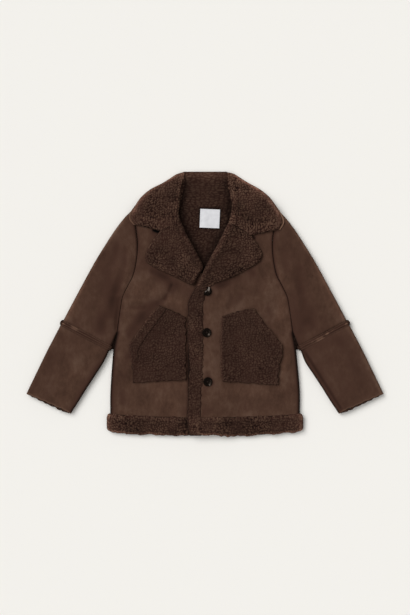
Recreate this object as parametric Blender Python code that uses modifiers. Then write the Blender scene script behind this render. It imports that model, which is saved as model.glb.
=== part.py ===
"""A child's shearling jacket, laid flat on its back with the front up.

Every cloth piece is a closed wall of the bonded cloth's real thickness.
x runs across the jacket, y from the hem up to the collar, z up from the
surface that it lies on.  The wearer's right side has negative x.  Sizes
are in millimetres, and the meshes are written in metres.
"""
import math
from collections import namedtuple

import bmesh
import bpy
import numpy as np

MM = 0.001

# ---------------------------------------------------------------- sizes
WALL = 6.0             # suede face bonded to its curly pile
TRIM = 5.2             # pile cloth alone, for pockets and bands
SEAM = 0.3             # between pieces that are sewn together
REST = 0.5             # under a piece that lies on a curved panel
EDGE = (0.0, 1.5, 5.0)  # where the columns stand at a rounded edge

FRONT = WALL + SEAM                   # underside of a front
LAPPED = FRONT + WALL + SEAM          # underside of the left front, on the right one
LAP_REACH = 15.0                      # the right front's hidden edge
LAP_LINES = (17.0, 29.0, 41.5, 54.0, 66.0)  # x where the left front bends down again
LAP_SHARES = (1.0, 0.84, 0.5, 0.16, 0.0)    # how much of the lapped height is left there

SIDE_ROUND = 5.4                      # outer corner at a side seam
SEAM_ROUND = 1.2                      # soft corner at a sewn edge
NECK_INSET = 16.0                     # from the roll line back to the front's edge
ROLL = (0.0, 3.0, 9.0, 11.0)          # columns across the rolled edge
CREST = 5.0                           # how far the roll stands up
LAPEL_ENDS = (0.0, 1.5, 4.5)          # rows at a lapel's rounded ends

HEM_WIDE = 174.0
HEM_MID = -209.0
HEM_SIDE = -203.0
BAND_WIDE = 180.0
HEM_BULGE = 2.0                       # how much thicker the band is than the wall
HEM_SHARES = (0.0, 0.09, 0.35, 0.65, 0.88, 0.97, 1.0)  # its rows, seam to edge
HEM_LOW = (0.0, 2.4, 0.0, 0.0)        # its rounded lower corner

NECK_MID = 178.5                      # neck seam at the middle of the back
NECK_HALF = 48.5                      # half the back neck's width
NECK_SIDE = 191.0
SHOULDER = (131.0, 178.0)             # shoulder tip

BUTTON_RADIUS = 8.4
BUTTON_THICK = 3.2
BUTTONS = ((5.0, 22.6), (3.8, -52.0), (5.0, -142.0))
LABEL_SIDE = 36.5
LABEL_THICK = 0.8
LABEL_AT = (9.0, 159.3)
LABEL_TURN = math.radians(-2.5)

# Armhole seam from the shoulder tip down to the underarm, for the left side.
ARMHOLE = ((130.0, 177.0), (130.0, 163.0), (128.0, 149.0), (126.0, 134.0),
           (124.0, 115.0), (124.5, 95.0), (127.0, 75.0), (132.0, 54.0),
           (142.0, 34.0), (151.0, 15.0), (155.0, -5.0), (158.5, -28.0),
           (162.0, -52.0))

# Rows below the underarm: the front edge of each front, and its side seam.
SideRow = namedtuple("SideRow", "y left_edge right_edge side")
SIDES = (SideRow(-206.0, -8.0, LAP_REACH, 174.0),
         SideRow(-160.0, -7.0, LAP_REACH, 173.0),
         SideRow(-100.0, -5.4, LAP_REACH, 170.0),
         SideRow(-76.0, -5.3, LAP_REACH, 167.5))

# The front edges beside the armhole, from the underarm up to the lapels.
EDGES_UP = ((-5.2, LAP_REACH), (-5.0, LAP_REACH), (-4.8, LAP_REACH),
            (-4.6, LAP_REACH), (-3.0, 13.0))

# A lapel, from the lowest point up to the seam with the collar.
Turned = namedtuple("Turned", "roll_x roll_y edge_x edge_y")
LAPEL_LEFT = (Turned(-19.0, 31.4, 3.0, 31.6), Turned(-15.0, 39.0, 22.0, 38.5),
              Turned(-8.0, 52.0, 50.0, 50.0), Turned(0.0, 68.0, 74.0, 63.0),
              Turned(10.0, 87.0, 98.0, 77.0), Turned(20.0, 105.0, 105.0, 92.0),
              Turned(31.0, 127.0, 98.5, 108.0), Turned(46.0, 151.0, 86.0, 126.0))
LAPEL_RIGHT = (Turned(-21.0, 34.6, -25.0, 36.2), Turned(-17.0, 42.0, -38.0, 42.0),
               Turned(-10.5, 54.0, -60.0, 53.0), Turned(-4.0, 68.0, -85.0, 64.0),
               Turned(-12.0, 86.0, -107.0, 78.0), Turned(-23.0, 106.0, -109.0, 93.0),
               Turned(-36.0, 128.0, -101.0, 112.0), Turned(-47.0, 153.5, -83.0, 134.5))
WRAPS_FROM = 4         # the right lapel's rows below this are tucked under the left

# The collar's leaf on each side, from its short end up to the free edge.
COLLAR_LEFT = (Turned(46.8, 152.2, 138.0, 138.0), Turned(49.0, 166.0, 145.0, 152.0),
               Turned(49.5, 179.0, 139.0, 167.0), Turned(48.5, 190.8, 129.0, 181.0),
               Turned(48.5, 191.6, 128.6, 182.0), Turned(46.0, 204.0, 117.0, 198.0),
               Turned(44.5, 216.0, 100.0, 212.0), Turned(43.0, 229.0, 76.0, 225.5),
               Turned(42.0, 243.5, 53.0, 240.0))
COLLAR_RIGHT = (Turned(-47.8, 154.8, -131.0, 147.0), Turned(-50.0, 168.0, -139.0, 158.0),
                Turned(-49.5, 180.0, -136.5, 170.0), Turned(-48.5, 190.8, -129.0, 181.0),
                Turned(-48.5, 191.6, -128.6, 182.0), Turned(-46.0, 204.0, -117.0, 198.0),
                Turned(-44.5, 216.0, -100.0, 212.0), Turned(-43.0, 229.0, -76.0, 225.5),
                Turned(-42.0, 243.5, -53.0, 240.0))
NOTCH_LEFT = (86.5, 127.2)
NOTCH_RIGHT = (-82.5, 135.6)
PAST_NECK = 4          # rows from here on lie beyond the neck and shoulder seams
LEAF_HEIGHT = (18.8, 18.8, 18.6, 18.4, 18.4, 17.4, 15.8, 13.8, 9.0)
LEAF_CREST = (5.0, 5.0, 5.0, 4.8, 4.8, 4.2, 3.2, 2.0, 0.4)

# The sleeve's rings below the armhole, left side: outer edge, inner edge, height.
Ring = namedtuple("Ring", "outer_x outer_y inner_x inner_y height")
UPPER = (Ring(131.0, 177.0, 162.5, -52.0, 12.3), Ring(147.0, 162.0, 163.8, -55.0, 12.3),
         Ring(165.0, 139.0, 165.0, -58.0, 12.8), Ring(182.0, 113.0, 166.3, -61.0, 13.6),
         Ring(200.0, 84.0, 167.6, -64.0, 14.4), Ring(217.0, 53.5, 168.8, -67.0, 14.8),
         Ring(234.0, 22.0, 170.0, -70.0, 14.8), Ring(249.0, -6.0, 171.3, -73.0, 14.6),
         Ring(261.3, -29.5, 172.6, -76.0, 14.2))
LOWER = (Ring(277.5, -62.0, 189.5, -106.8, 14.8), Ring(289.5, -86.5, 203.5, -129.5, 15.0),
         Ring(302.0, -112.5, 218.5, -153.5, 14.8), Ring(315.0, -139.0, 234.0, -178.0, 14.2),
         Ring(327.0, -163.5, 249.0, -201.0, 13.6))
ELBOW_WIDTH = 9.4                     # the raised seam round each elbow
ELBOW_OUT = ((0.0, 2.4, 15.2), (0.5, 4.0, 16.6), (1.0, 2.4, 15.2))  # share, reach, height
SLEEVE_ROUND = 5.6

# A patch pocket: its body from the top edge down, and its turned rim.
Strip = namedtuple("Strip", "from_x from_y to_x to_y")
POCKET_RIGHT = (Strip(-71.4, -6.8, -36.0, -22.0), Strip(-86.0, -27.6, -35.5, -36.0),
                Strip(-98.8, -44.6, -35.0, -51.0), Strip(-111.8, -62.6, -35.0, -67.0),
                Strip(-124.6, -82.4, -35.0, -85.0), Strip(-122.0, -99.6, -35.0, -100.0),
                Strip(-136.0, -98.4, -35.0, -112.0), Strip(-131.0, -122.0, -35.0, -127.0),
                Strip(-132.0, -146.0, -35.5, -141.0))
RIM_RIGHT = (Strip(-84.0, -1.5, -71.6, -6.0), Strip(-100.0, -18.0, -86.5, -27.0),
             Strip(-113.0, -36.0, -99.3, -44.0), Strip(-127.0, -54.0, -112.3, -62.0),
             Strip(-141.0, -75.0, -125.2, -82.0), Strip(-138.0, -97.4, -122.4, -98.8))
POCKET_LEFT = (Strip(32.0, -22.0, 71.9, -9.6), Strip(30.5, -36.0, 89.1, -35.6),
               Strip(30.0, -52.0, 104.1, -54.6), Strip(29.5, -70.0, 118.9, -73.6),
               Strip(29.5, -86.0, 126.0, -86.8), Strip(30.0, -101.0, 124.2, -102.6),
               Strip(30.0, -113.0, 140.0, -102.0), Strip(31.0, -130.0, 138.0, -124.0),
               Strip(33.0, -142.0, 137.0, -148.0))
RIM_LEFT = (Strip(90.0, -8.0, 73.0, -9.0), Strip(105.0, -28.0, 89.9, -35.0),
            Strip(120.0, -47.0, 104.9, -54.0), Strip(136.0, -66.0, 119.7, -73.0),
            Strip(143.5, -82.0, 126.8, -86.2), Strip(141.0, -101.0, 125.0, -101.8))
RIM_THICK = 6.8

# The pile band down the left front's edge: y, its outer edge, its sewn edge.
BAND = ((-241.5, -29.0, -8.6), (-207.0, -33.0, -8.4), (-180.0, -32.0, -8.0),
        (-140.0, -31.0, -6.8), (-100.0, -31.0, -5.6), (-60.0, -33.0, -5.4),
        (-30.0, -31.0, -5.2), (0.0, -29.0, -5.0), (15.0, -27.0, -4.8),
        (30.6, -20.5, -3.6))

# The largest soft ridges: two ends, half width and height.
Fold = namedtuple("Fold", "x1 y1 x2 y2 half rise")
FOLDS = (Fold(-60.0, 34.0, -86.0, 20.0, 19.0, 2.4),      # right chest, down to the pocket
         Fold(-148.0, 14.0, -112.0, 13.0, 17.0, 1.6),     # right front, in from the armhole
         Fold(54.0, 31.0, 48.0, 16.0, 19.0, 1.8),        # left chest, beside the button
         Fold(134.0, 30.0, 108.0, 12.0, 18.0, 1.2),     # left front, in from the armhole
         Fold(-150.0, 76.0, -178.0, -14.0, 24.0, 2.6),  # along the right armhole
         Fold(148.0, 78.0, 176.0, -18.0, 24.0, 2.4),    # along the left armhole
         Fold(-196.0, 62.0, -226.0, -26.0, 26.0, 1.4),  # down the right upper sleeve
         Fold(200.0, 48.0, 214.0, -34.0, 26.0, 1.6),    # down the left upper sleeve
         Fold(-226.0, -88.0, -262.0, -150.0, 24.0, 1.2),  # down the right lower sleeve
         Fold(238.0, -84.0, 280.0, -138.0, 24.0, 1.4))  # down the left lower sleeve


# ------------------------------------------------------------- heights
def ease(value):
    """Run smoothly from 0 to 1 while value does."""
    value = np.clip(value, 0.0, 1.0)
    return value * value * (3.0 - 2.0 * value)


def folds(x, y):
    """Return the height that the largest folds add at each plan point."""
    rise = np.zeros_like(x)
    for fold in FOLDS:
        along = np.array([fold.x2 - fold.x1, fold.y2 - fold.y1])
        length = np.hypot(*along)
        step_x = (x - fold.x1) * along[0] / length
        share = (step_x + (y - fold.y1) * along[1] / length) / length
        near = np.clip(share, 0.0, 1.0)
        away = np.hypot(x - fold.x1 - near * along[0], y - fold.y1 - near * along[1])
        rise += fold.rise * (1.0 - np.clip(away / fold.half, 0.0, 1.0) ** 2) ** 2
    return rise


def left_under(x, y):
    """Return the underside of the left front, which climbs onto the right one."""
    return FRONT + (LAPPED - FRONT) * np.interp(x, LAP_LINES, LAP_SHARES) + 0.0 * y


def left_clear(x, y):
    """Return left_under with room for a piece whose columns stand elsewhere."""
    return np.maximum(left_under(x - 8.0, y) - 0.6, left_under(x, y))


def right_under(x, y):
    """Return the underside of the right front, flat on the back."""
    return FRONT + 0.0 * x + 0.0 * y


def corner(distance, radius):
    """Return how far a rounded corner has dropped at a distance from its edge."""
    inside = radius - np.clip(distance, 0.0, radius)
    return radius - np.sqrt(np.maximum(radius * radius - inside * inside, 0.0))


def hem_seam(x):
    """Return the y of the seam between the cloth and the hem's band."""
    return HEM_MID + (HEM_SIDE - HEM_MID) * (np.abs(x) / HEM_WIDE) ** 2


def hem_edge(x):
    """Return the y of the hem band's free edge, rounded off at the sides."""
    return -243.5 + 4.5 * (np.abs(x) / BAND_WIDE) ** 2 + 8.0 * (np.abs(x) / BAND_WIDE) ** 12


def top_edge(x):
    """Return the y of the back's neck seam and shoulder seams."""
    reach = np.abs(x)
    neck = NECK_MID - 0.5 + (NECK_SIDE - NECK_MID) * (reach / NECK_HALF) ** 2
    fall = (NECK_SIDE - SHOULDER[1]) / (SHOULDER[0] - NECK_HALF)
    shoulder = NECK_SIDE - 0.9 - fall * (reach - NECK_HALF)
    return np.where(reach < NECK_HALF, np.minimum(neck, NECK_SIDE - 0.9), shoulder)


# -------------------------------------------------------------- meshes
def material(name, colour, roughness):
    """Return a plain Principled material."""
    made = bpy.data.materials.new(name)
    made.use_nodes = True
    shader = made.node_tree.nodes["Principled BSDF"]
    shader.inputs["Base Color"].default_value = (*colour, 1.0)
    shader.inputs["Roughness"].default_value = roughness
    shader.inputs["Metallic"].default_value = 0.0
    return made


def add_mesh(name, points, faces, slot):
    """Make one named object from points in millimetres."""
    mesh = bpy.data.meshes.new(name)
    mesh.from_pydata([tuple(float(v) * MM for v in point) for point in points], [], faces)
    mesh.materials.append(slot)
    made = bpy.data.objects.new(name, mesh)
    jacket.objects.link(made)
    return made


def wall(name, plan, under, over, slot, cells=None):
    """Close the space between two height grids over one plan grid."""
    rows, columns = under.shape
    if cells is None:
        cells = np.ones((rows - 1, columns - 1), bool)
    lower, upper, numbers = [], [], {}
    for row, column in zip(*np.nonzero(cells)):
        for corner_at in ((row, column), (row, column + 1),
                          (row + 1, column + 1), (row + 1, column)):
            if corner_at not in numbers:
                numbers[corner_at] = len(lower)
                place = plan[corner_at]
                lower.append((place[0], place[1], under[corner_at]))
                upper.append((place[0], place[1], over[corner_at]))
    count = len(lower)
    faces, edges = [], set()
    for row, column in zip(*np.nonzero(cells)):
        loop = [numbers[row, column], numbers[row, column + 1],
                numbers[row + 1, column + 1], numbers[row + 1, column]]
        faces.append(tuple(count + index for index in loop))
        faces.append(tuple(reversed(loop)))
        edges.update(zip(loop, loop[1:] + loop[:1]))
    for start, end in edges:
        if (end, start) not in edges:
            faces.append((start, end, count + end, count + start))
    made = add_mesh(name, lower + upper, faces, slot)
    face_outward(made.data)
    return made


def face_outward(mesh):
    """Turn every face of a closed mesh to the outside."""
    working = bmesh.new()
    working.from_mesh(mesh)
    bmesh.ops.recalc_face_normals(working, faces=working.faces)
    working.to_mesh(mesh)
    working.free()


def stations(width, near, far, cells):
    """Return the distances of a row's columns from its start."""
    shrink = min(1.0, width / (2.2 * (near[-1] + far[-1]) + 1e-9))
    first = np.array(near) * shrink
    last = width - np.array(far[::-1]) * shrink
    inner = np.linspace(first[-1], last[0], cells + 1)[1:-1]
    return np.concatenate((first, inner, last))


def row(start, end, near, far, cells, lines=()):
    """Return one straight row's plan points, with columns on some x lines."""
    start, end = np.array(start, float), np.array(end, float)
    width = np.hypot(*(end - start))
    if not lines:
        return start + np.outer(stations(width, near, far, cells) / width, end - start)
    bends = (np.array(lines) - start[0]) / (end[0] - start[0]) * width
    after = stations(width - bends[-1], (0.0,), far, cells) + bends[-1]
    distances = np.concatenate((near, bends, after[1:]))
    return start + np.outer(distances / width, end - start)


def edge_rows(plan, offsets):
    """Add rows close to a plan's first and last rows, for its rounded ends."""
    middle = plan.shape[1] // 2
    begin = np.hypot(*(plan[1, middle] - plan[0, middle]))
    finish = np.hypot(*(plan[-1, middle] - plan[-2, middle]))
    head = [plan[0] + (plan[1] - plan[0]) * off / begin for off in offsets]
    tail = [plan[-1] + (plan[-2] - plan[-1]) * off / finish for off in reversed(offsets)]
    return np.concatenate((head, plan[1:-1], tail))


def reach_in(plan, axis):
    """Return each plan point's distance from both ends of its row or column."""
    steps = np.linalg.norm(np.diff(plan, axis=axis), axis=2)
    pad = [(0, 0), (0, 0)]
    pad[axis] = (1, 0)
    near = np.pad(np.cumsum(steps, axis=axis), pad)
    return near, near.take([-1], axis=axis) - near


def rounded(plan, radii):
    """Return the drop of the rounded corners: first, last row, near, far column."""
    first, last = reach_in(plan, 0)
    near, far = reach_in(plan, 1)
    drops = [corner(distance, radius) for distance, radius
             in zip((first, last, near, far), radii)]
    return np.max(drops, axis=0)


# ---------------------------------------------------------------- body
def armhole_rows(side):
    """Return the armhole's points from the underarm up, for one side."""
    return [(side * x, y) for x, y in reversed(ARMHOLE)]


def make_back(slot):
    """Make the back, flat on the surface, with its sides rounded upward."""
    ends = [(row_at.side, row_at.y) for row_at in SIDES] + armhole_rows(1)
    plan = np.array([row((-x, y), (x, y), EDGE, EDGE, 10) for x, y in ends])
    plan[0, :, 1] = hem_seam(plan[0, :, 0]) + SEAM
    for index, share in ((-2, 0.55), (-1, 1.0)):
        flat = plan[index, :, 1]
        plan[index, :, 1] = flat + share * (top_edge(plan[index, :, 0]) - flat)
    along = plan[:, :1, 1] < ARMHOLE[-1][1] + 1.0
    turn = np.where(along, SIDE_ROUND, SEAM_ROUND)
    near, far = reach_in(plan, 1)
    under = np.maximum(corner(near, turn), corner(far, turn))
    wall("back", plan, under, np.full(under.shape, WALL), slot)


def front_ends(side):
    """Return the front edge's and the side's plan points, row by row."""
    lapel = LAPEL_LEFT if side > 0 else LAPEL_RIGHT
    collar = COLLAR_LEFT if side > 0 else COLLAR_RIGHT
    roll = [(turned.roll_y, turned.roll_x) for turned in lapel[1:] + collar[1:4]]
    heights, places = zip(*roll)
    edge = "left_edge" if side > 0 else "right_edge"
    ends = [((getattr(row_at, edge), row_at.y), (side * row_at.side, row_at.y))
            for row_at in SIDES]
    for index, (x, y) in enumerate(armhole_rows(side)):
        if index < len(EDGES_UP):
            inner = EDGES_UP[index][0 if side > 0 else 1]
        else:
            inner = np.interp(y, heights, places) + side * NECK_INSET
        ends.append(((inner, y), (x, y)))
    if side < 0:
        ends[len(SIDES) + len(EDGES_UP)] = ((-2.0, ARMHOLE[7][1]), ends[9][1])
    (inner_x, _), outer = ends[-1]
    ends[-1] = ((inner_x, float(top_edge(np.array(inner_x)))), outer)
    return ends


def make_front(side, under_of, slot):
    """Make one front, from the hem seam up to the shoulder."""
    rows = []
    for start, end in front_ends(side):
        lines = ()
        if side > 0:
            lines = [max(line, start[0] + 6.0 * count)
                     for count, line in enumerate(LAP_LINES, start=1)]
        near = EDGE if side > 0 else (0.0, 4.0)
        rows.append(row(start, end, near, EDGE, 4 if side > 0 else 7, lines))
    plan = np.array(rows)
    plan[0, :, 1] = hem_seam(plan[0, :, 0]) + SEAM
    x, y = plan[..., 0], plan[..., 1]
    along = plan[:, -1:, 1] < ARMHOLE[-1][1] + 1.0
    turn = np.where(along, SIDE_ROUND, SEAM_ROUND)
    _, to_side = reach_in(plan, 1)
    under = under_of(x, y)
    lift = folds(x, y)
    over = under + WALL + lift - corner(to_side, turn)
    name = "front_left" if side > 0 else "front_right"
    wall(name, plan, under + 0.7 * lift, over, slot)


def hem_plan(left, right):
    """Return the plan of one stretch of the hem's band between two x positions."""
    across = row((left, 0.0), (right, 0.0), EDGE, EDGE, 10)[:, 0]
    upper = hem_seam(across)
    depth = hem_edge(across) - upper
    return np.array([np.column_stack((across, upper + depth * share))
                     for share in HEM_SHARES])


def make_front_hem(name, left, right, under_of, thick_of, soft, slot):
    """Make a front's stretch of the hem's band, rounded on its upper side."""
    plan = hem_plan(left, right)
    under = under_of(plan[..., 0], plan[..., 1])
    over = under + thick_of(plan[..., 0]) - rounded(plan, soft)
    wall(name, plan, under + rounded(plan, HEM_LOW), over, slot)


def make_hems(slot):
    """Make the hem's band: the back, the right front, and the left front on it."""
    flat = BAND[1][1] - 4.0

    def right_thick(x):
        return WALL + HEM_BULGE * ease((flat - x) / 16.0)

    def left_thick(x):
        return WALL + HEM_BULGE + 0.0 * x

    make_front_hem("hem_band_right", -BAND_WIDE, LAP_REACH, right_under,
                   right_thick, (2.0, 4.2, 5.2, 0.5), slot)
    make_front_hem("hem_band_left", BAND[0][2] + 0.5, BAND_WIDE, left_under,
                   left_thick, (2.0, 4.2, 1.5, 5.2), slot)
    plan = hem_plan(-BAND_WIDE, BAND_WIDE)
    under = rounded(plan, (0.6, 4.8, 5.2, 5.2))
    over = WALL - rounded(plan, (0.0, 0.8, 0.0, 0.0))
    wall("hem_band_back", plan, under, over, slot)


def make_front_band(slot):
    """Make the pile band down the left front's edge, over the right front."""
    plan = np.array([row((outer, y), (sewn - 0.4, y), EDGE, EDGE, 2)
                     for y, outer, sewn in BAND])
    plan = edge_rows(plan, EDGE)
    under = np.full(plan.shape[:2], LAPPED)
    over = under + WALL + 1.6 - rounded(plan, (4.2, 2.0, 4.6, 1.8))
    wall("front_band", plan, under + rounded(plan, (1.6, 0.0, 2.4, 0.0)), over, slot)


# ------------------------------------------------------ collar, lapels
def roll_section(plan, level, hook, crest):
    """Return under and over heights of cloth that rolls back on itself."""
    near, far = reach_in(plan, 1)
    wrapped = np.zeros(near.shape, bool)
    wrapped[:, :len(ROLL) - 1] = True
    under = np.where(wrapped, hook, level)
    bump = crest * np.exp(-((near - 8.0) / 13.0) ** 2)
    over = level + WALL + bump - corner(near, 7.0) - corner(far, 3.4)
    return under, over


def make_lapel(name, table, panel_under, hooks_from, slot):
    """Make a lapel that rolls over its front's edge and lies on the front."""
    plan = np.array([row((t.roll_x, t.roll_y), (t.edge_x, t.edge_y), ROLL, EDGE, 4)
                     for t in table])
    plan = edge_rows(plan, LAPEL_ENDS)
    x, y = plan[..., 0], plan[..., 1]
    base = panel_under(x, y)
    level = base + WALL + REST
    hook = base + 0.1
    tucked = np.arange(len(plan))[:, None] < hooks_from + len(LAPEL_ENDS) - 1
    hook = np.where(tucked & (hooks_from > 0), level, hook)
    under, over = roll_section(plan, level, hook, CREST)
    first, last = reach_in(plan, 0)
    over = over - corner(first, 3.4) - corner(last, 1.6)
    wall(name, plan, under, over, slot)


def collar_rows(table, notch):
    """Return one leaf's plan, with the notch on a column of its first row."""
    rows = []
    for index, t in enumerate(table):
        roll = np.array((t.roll_x, t.roll_y))
        edge = np.array((t.edge_x, t.edge_y))
        middle = np.array(notch) if index == 0 else roll + 0.45 * (edge - roll)
        first = row(roll, middle, ROLL, (0.0,), 2)
        second = row(middle, edge, (0.0,), EDGE, 3)
        rows.append(np.concatenate((first, second[1:])))
    return np.array(rows)


def leaf_heights(plan, panel_under):
    """Return the under and over heights of one leaf of the collar."""
    near, far = reach_in(plan, 1)
    base = panel_under(plan[..., 0], plan[..., 1])
    level = np.array(LEAF_HEIGHT)[:, None]
    crest = np.array(LEAF_CREST)[:, None]
    rows_past = np.arange(len(plan))[:, None] >= PAST_NECK
    droop = np.array((0.0, 0.0, 0.0, 0.0, 0.1, 0.6, 1.0, 1.0, 1.0))[:, None]
    settle = 1.0 - droop * (1.0 - ease(far / 34.0))
    over = WALL + 1.0 + (level - WALL - 1.0) * settle
    over = over + crest * np.exp(-((near - 8.0) / 13.0) ** 2) - corner(far, 3.4)
    nose = np.where(rows_past, over[:, :1] - WALL - 0.4, 7.0)
    slope = 1.0 - ease(near / 8.0)
    over = over - np.where(rows_past, nose * slope, corner(near, 7.0))
    wrapped = np.zeros(near.shape, bool)
    wrapped[:, :len(ROLL) - 1] = True
    under = np.where(wrapped, base + 0.1, base + WALL + REST)
    under = np.where(rows_past, 0.0, under)
    return under, over + np.where(rows_past, 0.0, base - FRONT)


def make_collar(slot):
    """Make the collar: two leaves turned out, and the open back between them."""
    right = collar_rows(COLLAR_RIGHT, NOTCH_RIGHT)
    left = collar_rows(COLLAR_LEFT, NOTCH_LEFT)
    right_under_z, right_over = leaf_heights(right, right_under)
    left_under_z, left_over = leaf_heights(left, left_clear)
    shares = np.array((0.18, 0.5, 0.82))
    start, end = right[:, :1], left[:, :1]
    middle = start + (end - start) * shares[None, :, None]
    dip = (NECK_SIDE - NECK_MID) * (1.0 - (2.0 * shares - 1.0) ** 2)
    fade = np.interp(np.arange(len(middle)), (PAST_NECK, len(middle) - 1), (1.0, 0.0))
    middle[..., 1] -= dip[None, :] * fade[:, None]
    plan = np.concatenate((right[:, ::-1], middle, left), axis=1)
    flat = np.full(middle.shape[:2], WALL + 0.4)
    flat[-1] -= 1.4
    under = np.concatenate((right_under_z[:, ::-1], 0.0 * flat, left_under_z), axis=1)
    over = np.concatenate((right_over[:, ::-1], flat, left_over), axis=1)
    cells = np.ones((plan.shape[0] - 1, plan.shape[1] - 1), bool)
    leaf = right.shape[1]
    cells[:PAST_NECK, leaf - 1:leaf + len(shares)] = False
    wall("collar", plan, under, over, slot, cells)


# ------------------------------------------------------------- sleeves
def tube_ring(ring, side, across, bend):
    """Return one flattened ring's outer and inner loops."""
    start = np.array((side * ring.outer_x, ring.outer_y))
    end = np.array((side * ring.inner_x, ring.inner_y))
    width = np.hypot(*(end - start))
    if across is None:
        across = stations(width, EDGE, EDGE, 6) / width
    plan = start + np.outer(across, end - start) + bend
    inset = (WALL + across * (width - 2.0 * WALL)) / width
    inside = start + np.outer(inset, end - start) + bend
    rise = folds(plan[:, 0], plan[:, 1])
    distance = np.minimum(across, 1.0 - across) * width
    drop = corner(distance, SLEEVE_ROUND)
    middle = ring.height / 2.0
    gap = np.where(distance > 0.0, middle - WALL, 0.0)
    top = np.column_stack((plan, ring.height - drop + rise))
    bottom = np.column_stack((plan, drop))
    ceiling = np.column_stack((inside, middle + gap + rise))
    floor = np.column_stack((inside, middle - gap))
    return np.concatenate((top, bottom[-2:0:-1])), np.concatenate((ceiling, floor[-2:0:-1]))


def make_tube(name, rings, side, slot, bow=None):
    """Loft a sleeve's wall through flattened rings; bow bends the first ones."""
    across = bow_shares() if bow else None
    fades = (1.0 - np.arange(len(rings)) / (len(rings) - 1)) ** 1.5
    loops = [tube_ring(ring, side, across, bow(across, side) * fade if bow else 0.0)
             for ring, fade in zip(rings, fades)]
    outer, inner = zip(*loops)
    size = len(outer[0])
    points = np.concatenate(outer + inner)
    hidden = size * len(rings)
    faces = []
    for number in range(len(rings) - 1):
        here, ahead = number * size, (number + 1) * size
        for index in range(size):
            after = (index + 1) % size
            quad = (here + index, here + after, ahead + after, ahead + index)
            faces.append(quad)
            faces.append(tuple(hidden + point for point in reversed(quad)))
    for here, last in ((0, False), (hidden - size, True)):
        for index in range(size):
            after = (index + 1) % size
            quad = (here + index, hidden + here + index, hidden + here + after, here + after)
            faces.append(tuple(reversed(quad)) if last else quad)
    face_outward(add_mesh(name, points, faces, slot).data)


def past_elbow(distance, reach, height):
    """Return a ring beyond the upper sleeve's end, wider by a reach on both edges."""
    last = UPPER[-1]
    across = np.array((last.outer_x - last.inner_x, last.outer_y - last.inner_y))
    across /= np.hypot(*across)
    down = distance * np.array((across[1], -across[0]))
    outer = np.array((last.outer_x, last.outer_y)) + down + reach * across
    inner = np.array((last.inner_x, last.inner_y)) + down - reach * across
    return Ring(*outer, *inner, height)


def bow_shares():
    """Return the armhole knots' shares of its length, with the rounded ends added."""
    knots = np.array(ARMHOLE)
    steps = np.hypot(*np.diff(knots, axis=0).T)
    along = np.concatenate(((0.0,), np.cumsum(steps)))
    extra = (EDGE[1], EDGE[2], along[-1] - EDGE[2], along[-1] - EDGE[1])
    return np.sort(np.concatenate((along, extra))) / along[-1]


def armhole_bow(across, side):
    """Return how far the armhole seam lies off a straight line."""
    knots = np.array(ARMHOLE)
    steps = np.hypot(*np.diff(knots, axis=0).T)
    along = np.concatenate(((0.0,), np.cumsum(steps))) / steps.sum()
    x = np.interp(across, along, knots[:, 0])
    y = np.interp(across, along, knots[:, 1])
    straight = knots[0] + np.outer(across, knots[-1] - knots[0])
    return np.column_stack((side * (x - straight[:, 0]), y - straight[:, 1]))


# --------------------------------------------------------------- trims
def make_patch(name, table, under_of, thick, soft, slot, lines=()):
    """Make a flat piece that lies on a front."""
    plan = np.array([row((s.from_x, s.from_y), (s.to_x, s.to_y), EDGE, EDGE, 4, lines)
                     for s in table])
    x, y = plan[..., 0], plan[..., 1]
    under = under_of(x, y) + WALL + REST
    wall(name, plan, under, under + thick - rounded(plan, soft), slot)


def make_button(number, x, y, slot):
    """Turn a dished button on the left front."""
    profile = ((0.0, 0.0), (BUTTON_RADIUS - 1.6, 0.0), (BUTTON_RADIUS - 0.3, 0.9),
               (BUTTON_RADIUS, 1.7), (BUTTON_RADIUS - 0.5, BUTTON_THICK - 0.3),
               (BUTTON_RADIUS - 1.4, BUTTON_THICK), (BUTTON_RADIUS - 2.8, BUTTON_THICK - 0.8),
               (0.0, BUTTON_THICK - 1.0))
    points = [(radius, 0.0, height) for radius, height in profile]
    lines = [(index, index + 1) for index in range(len(points) - 1)]
    mesh = bpy.data.meshes.new(f"button_{number}")
    mesh.from_pydata([tuple(v * MM for v in point) for point in points], lines, [])
    mesh.materials.append(slot)
    made = bpy.data.objects.new(f"button_{number}", mesh)
    made.location = (x * MM, y * MM, (LAPPED + WALL + SEAM) * MM)
    jacket.objects.link(made)
    turned = made.modifiers.new("turned", "SCREW")
    turned.steps = 24
    turned.render_steps = 24
    turned.use_merge_vertices = True
    turned.merge_threshold = 0.00001
    turned.use_normal_calculate = True


def make_label(slot):
    """Make the blank label at the back neck."""
    bpy.ops.mesh.primitive_cube_add(size=1.0)
    made = bpy.context.object
    made.name = "neck_label"
    for owner in made.users_collection:
        owner.objects.unlink(made)
    jacket.objects.link(made)
    height = WALL + SEAM + LABEL_THICK / 2.0
    made.location = (LABEL_AT[0] * MM, LABEL_AT[1] * MM, height * MM)
    made.rotation_euler = (0.0, 0.0, LABEL_TURN)
    made.scale = (LABEL_SIDE * MM, LABEL_SIDE * MM, LABEL_THICK * MM)
    made.data.materials.append(slot)


# ---------------------------------------------------------------- make
for old in list(bpy.data.objects):
    bpy.data.objects.remove(old, do_unlink=True)
jacket = bpy.data.collections.new("shearling_jacket")
bpy.context.scene.collection.children.link(jacket)

suede = material("suede", (0.074, 0.037, 0.024), 0.92)
pile = material("curly_pile", (0.036, 0.018, 0.012), 0.97)
horn = material("button_horn", (0.012, 0.009, 0.008), 0.18)
satin = material("label_satin", (0.72, 0.72, 0.71), 0.5)

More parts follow.
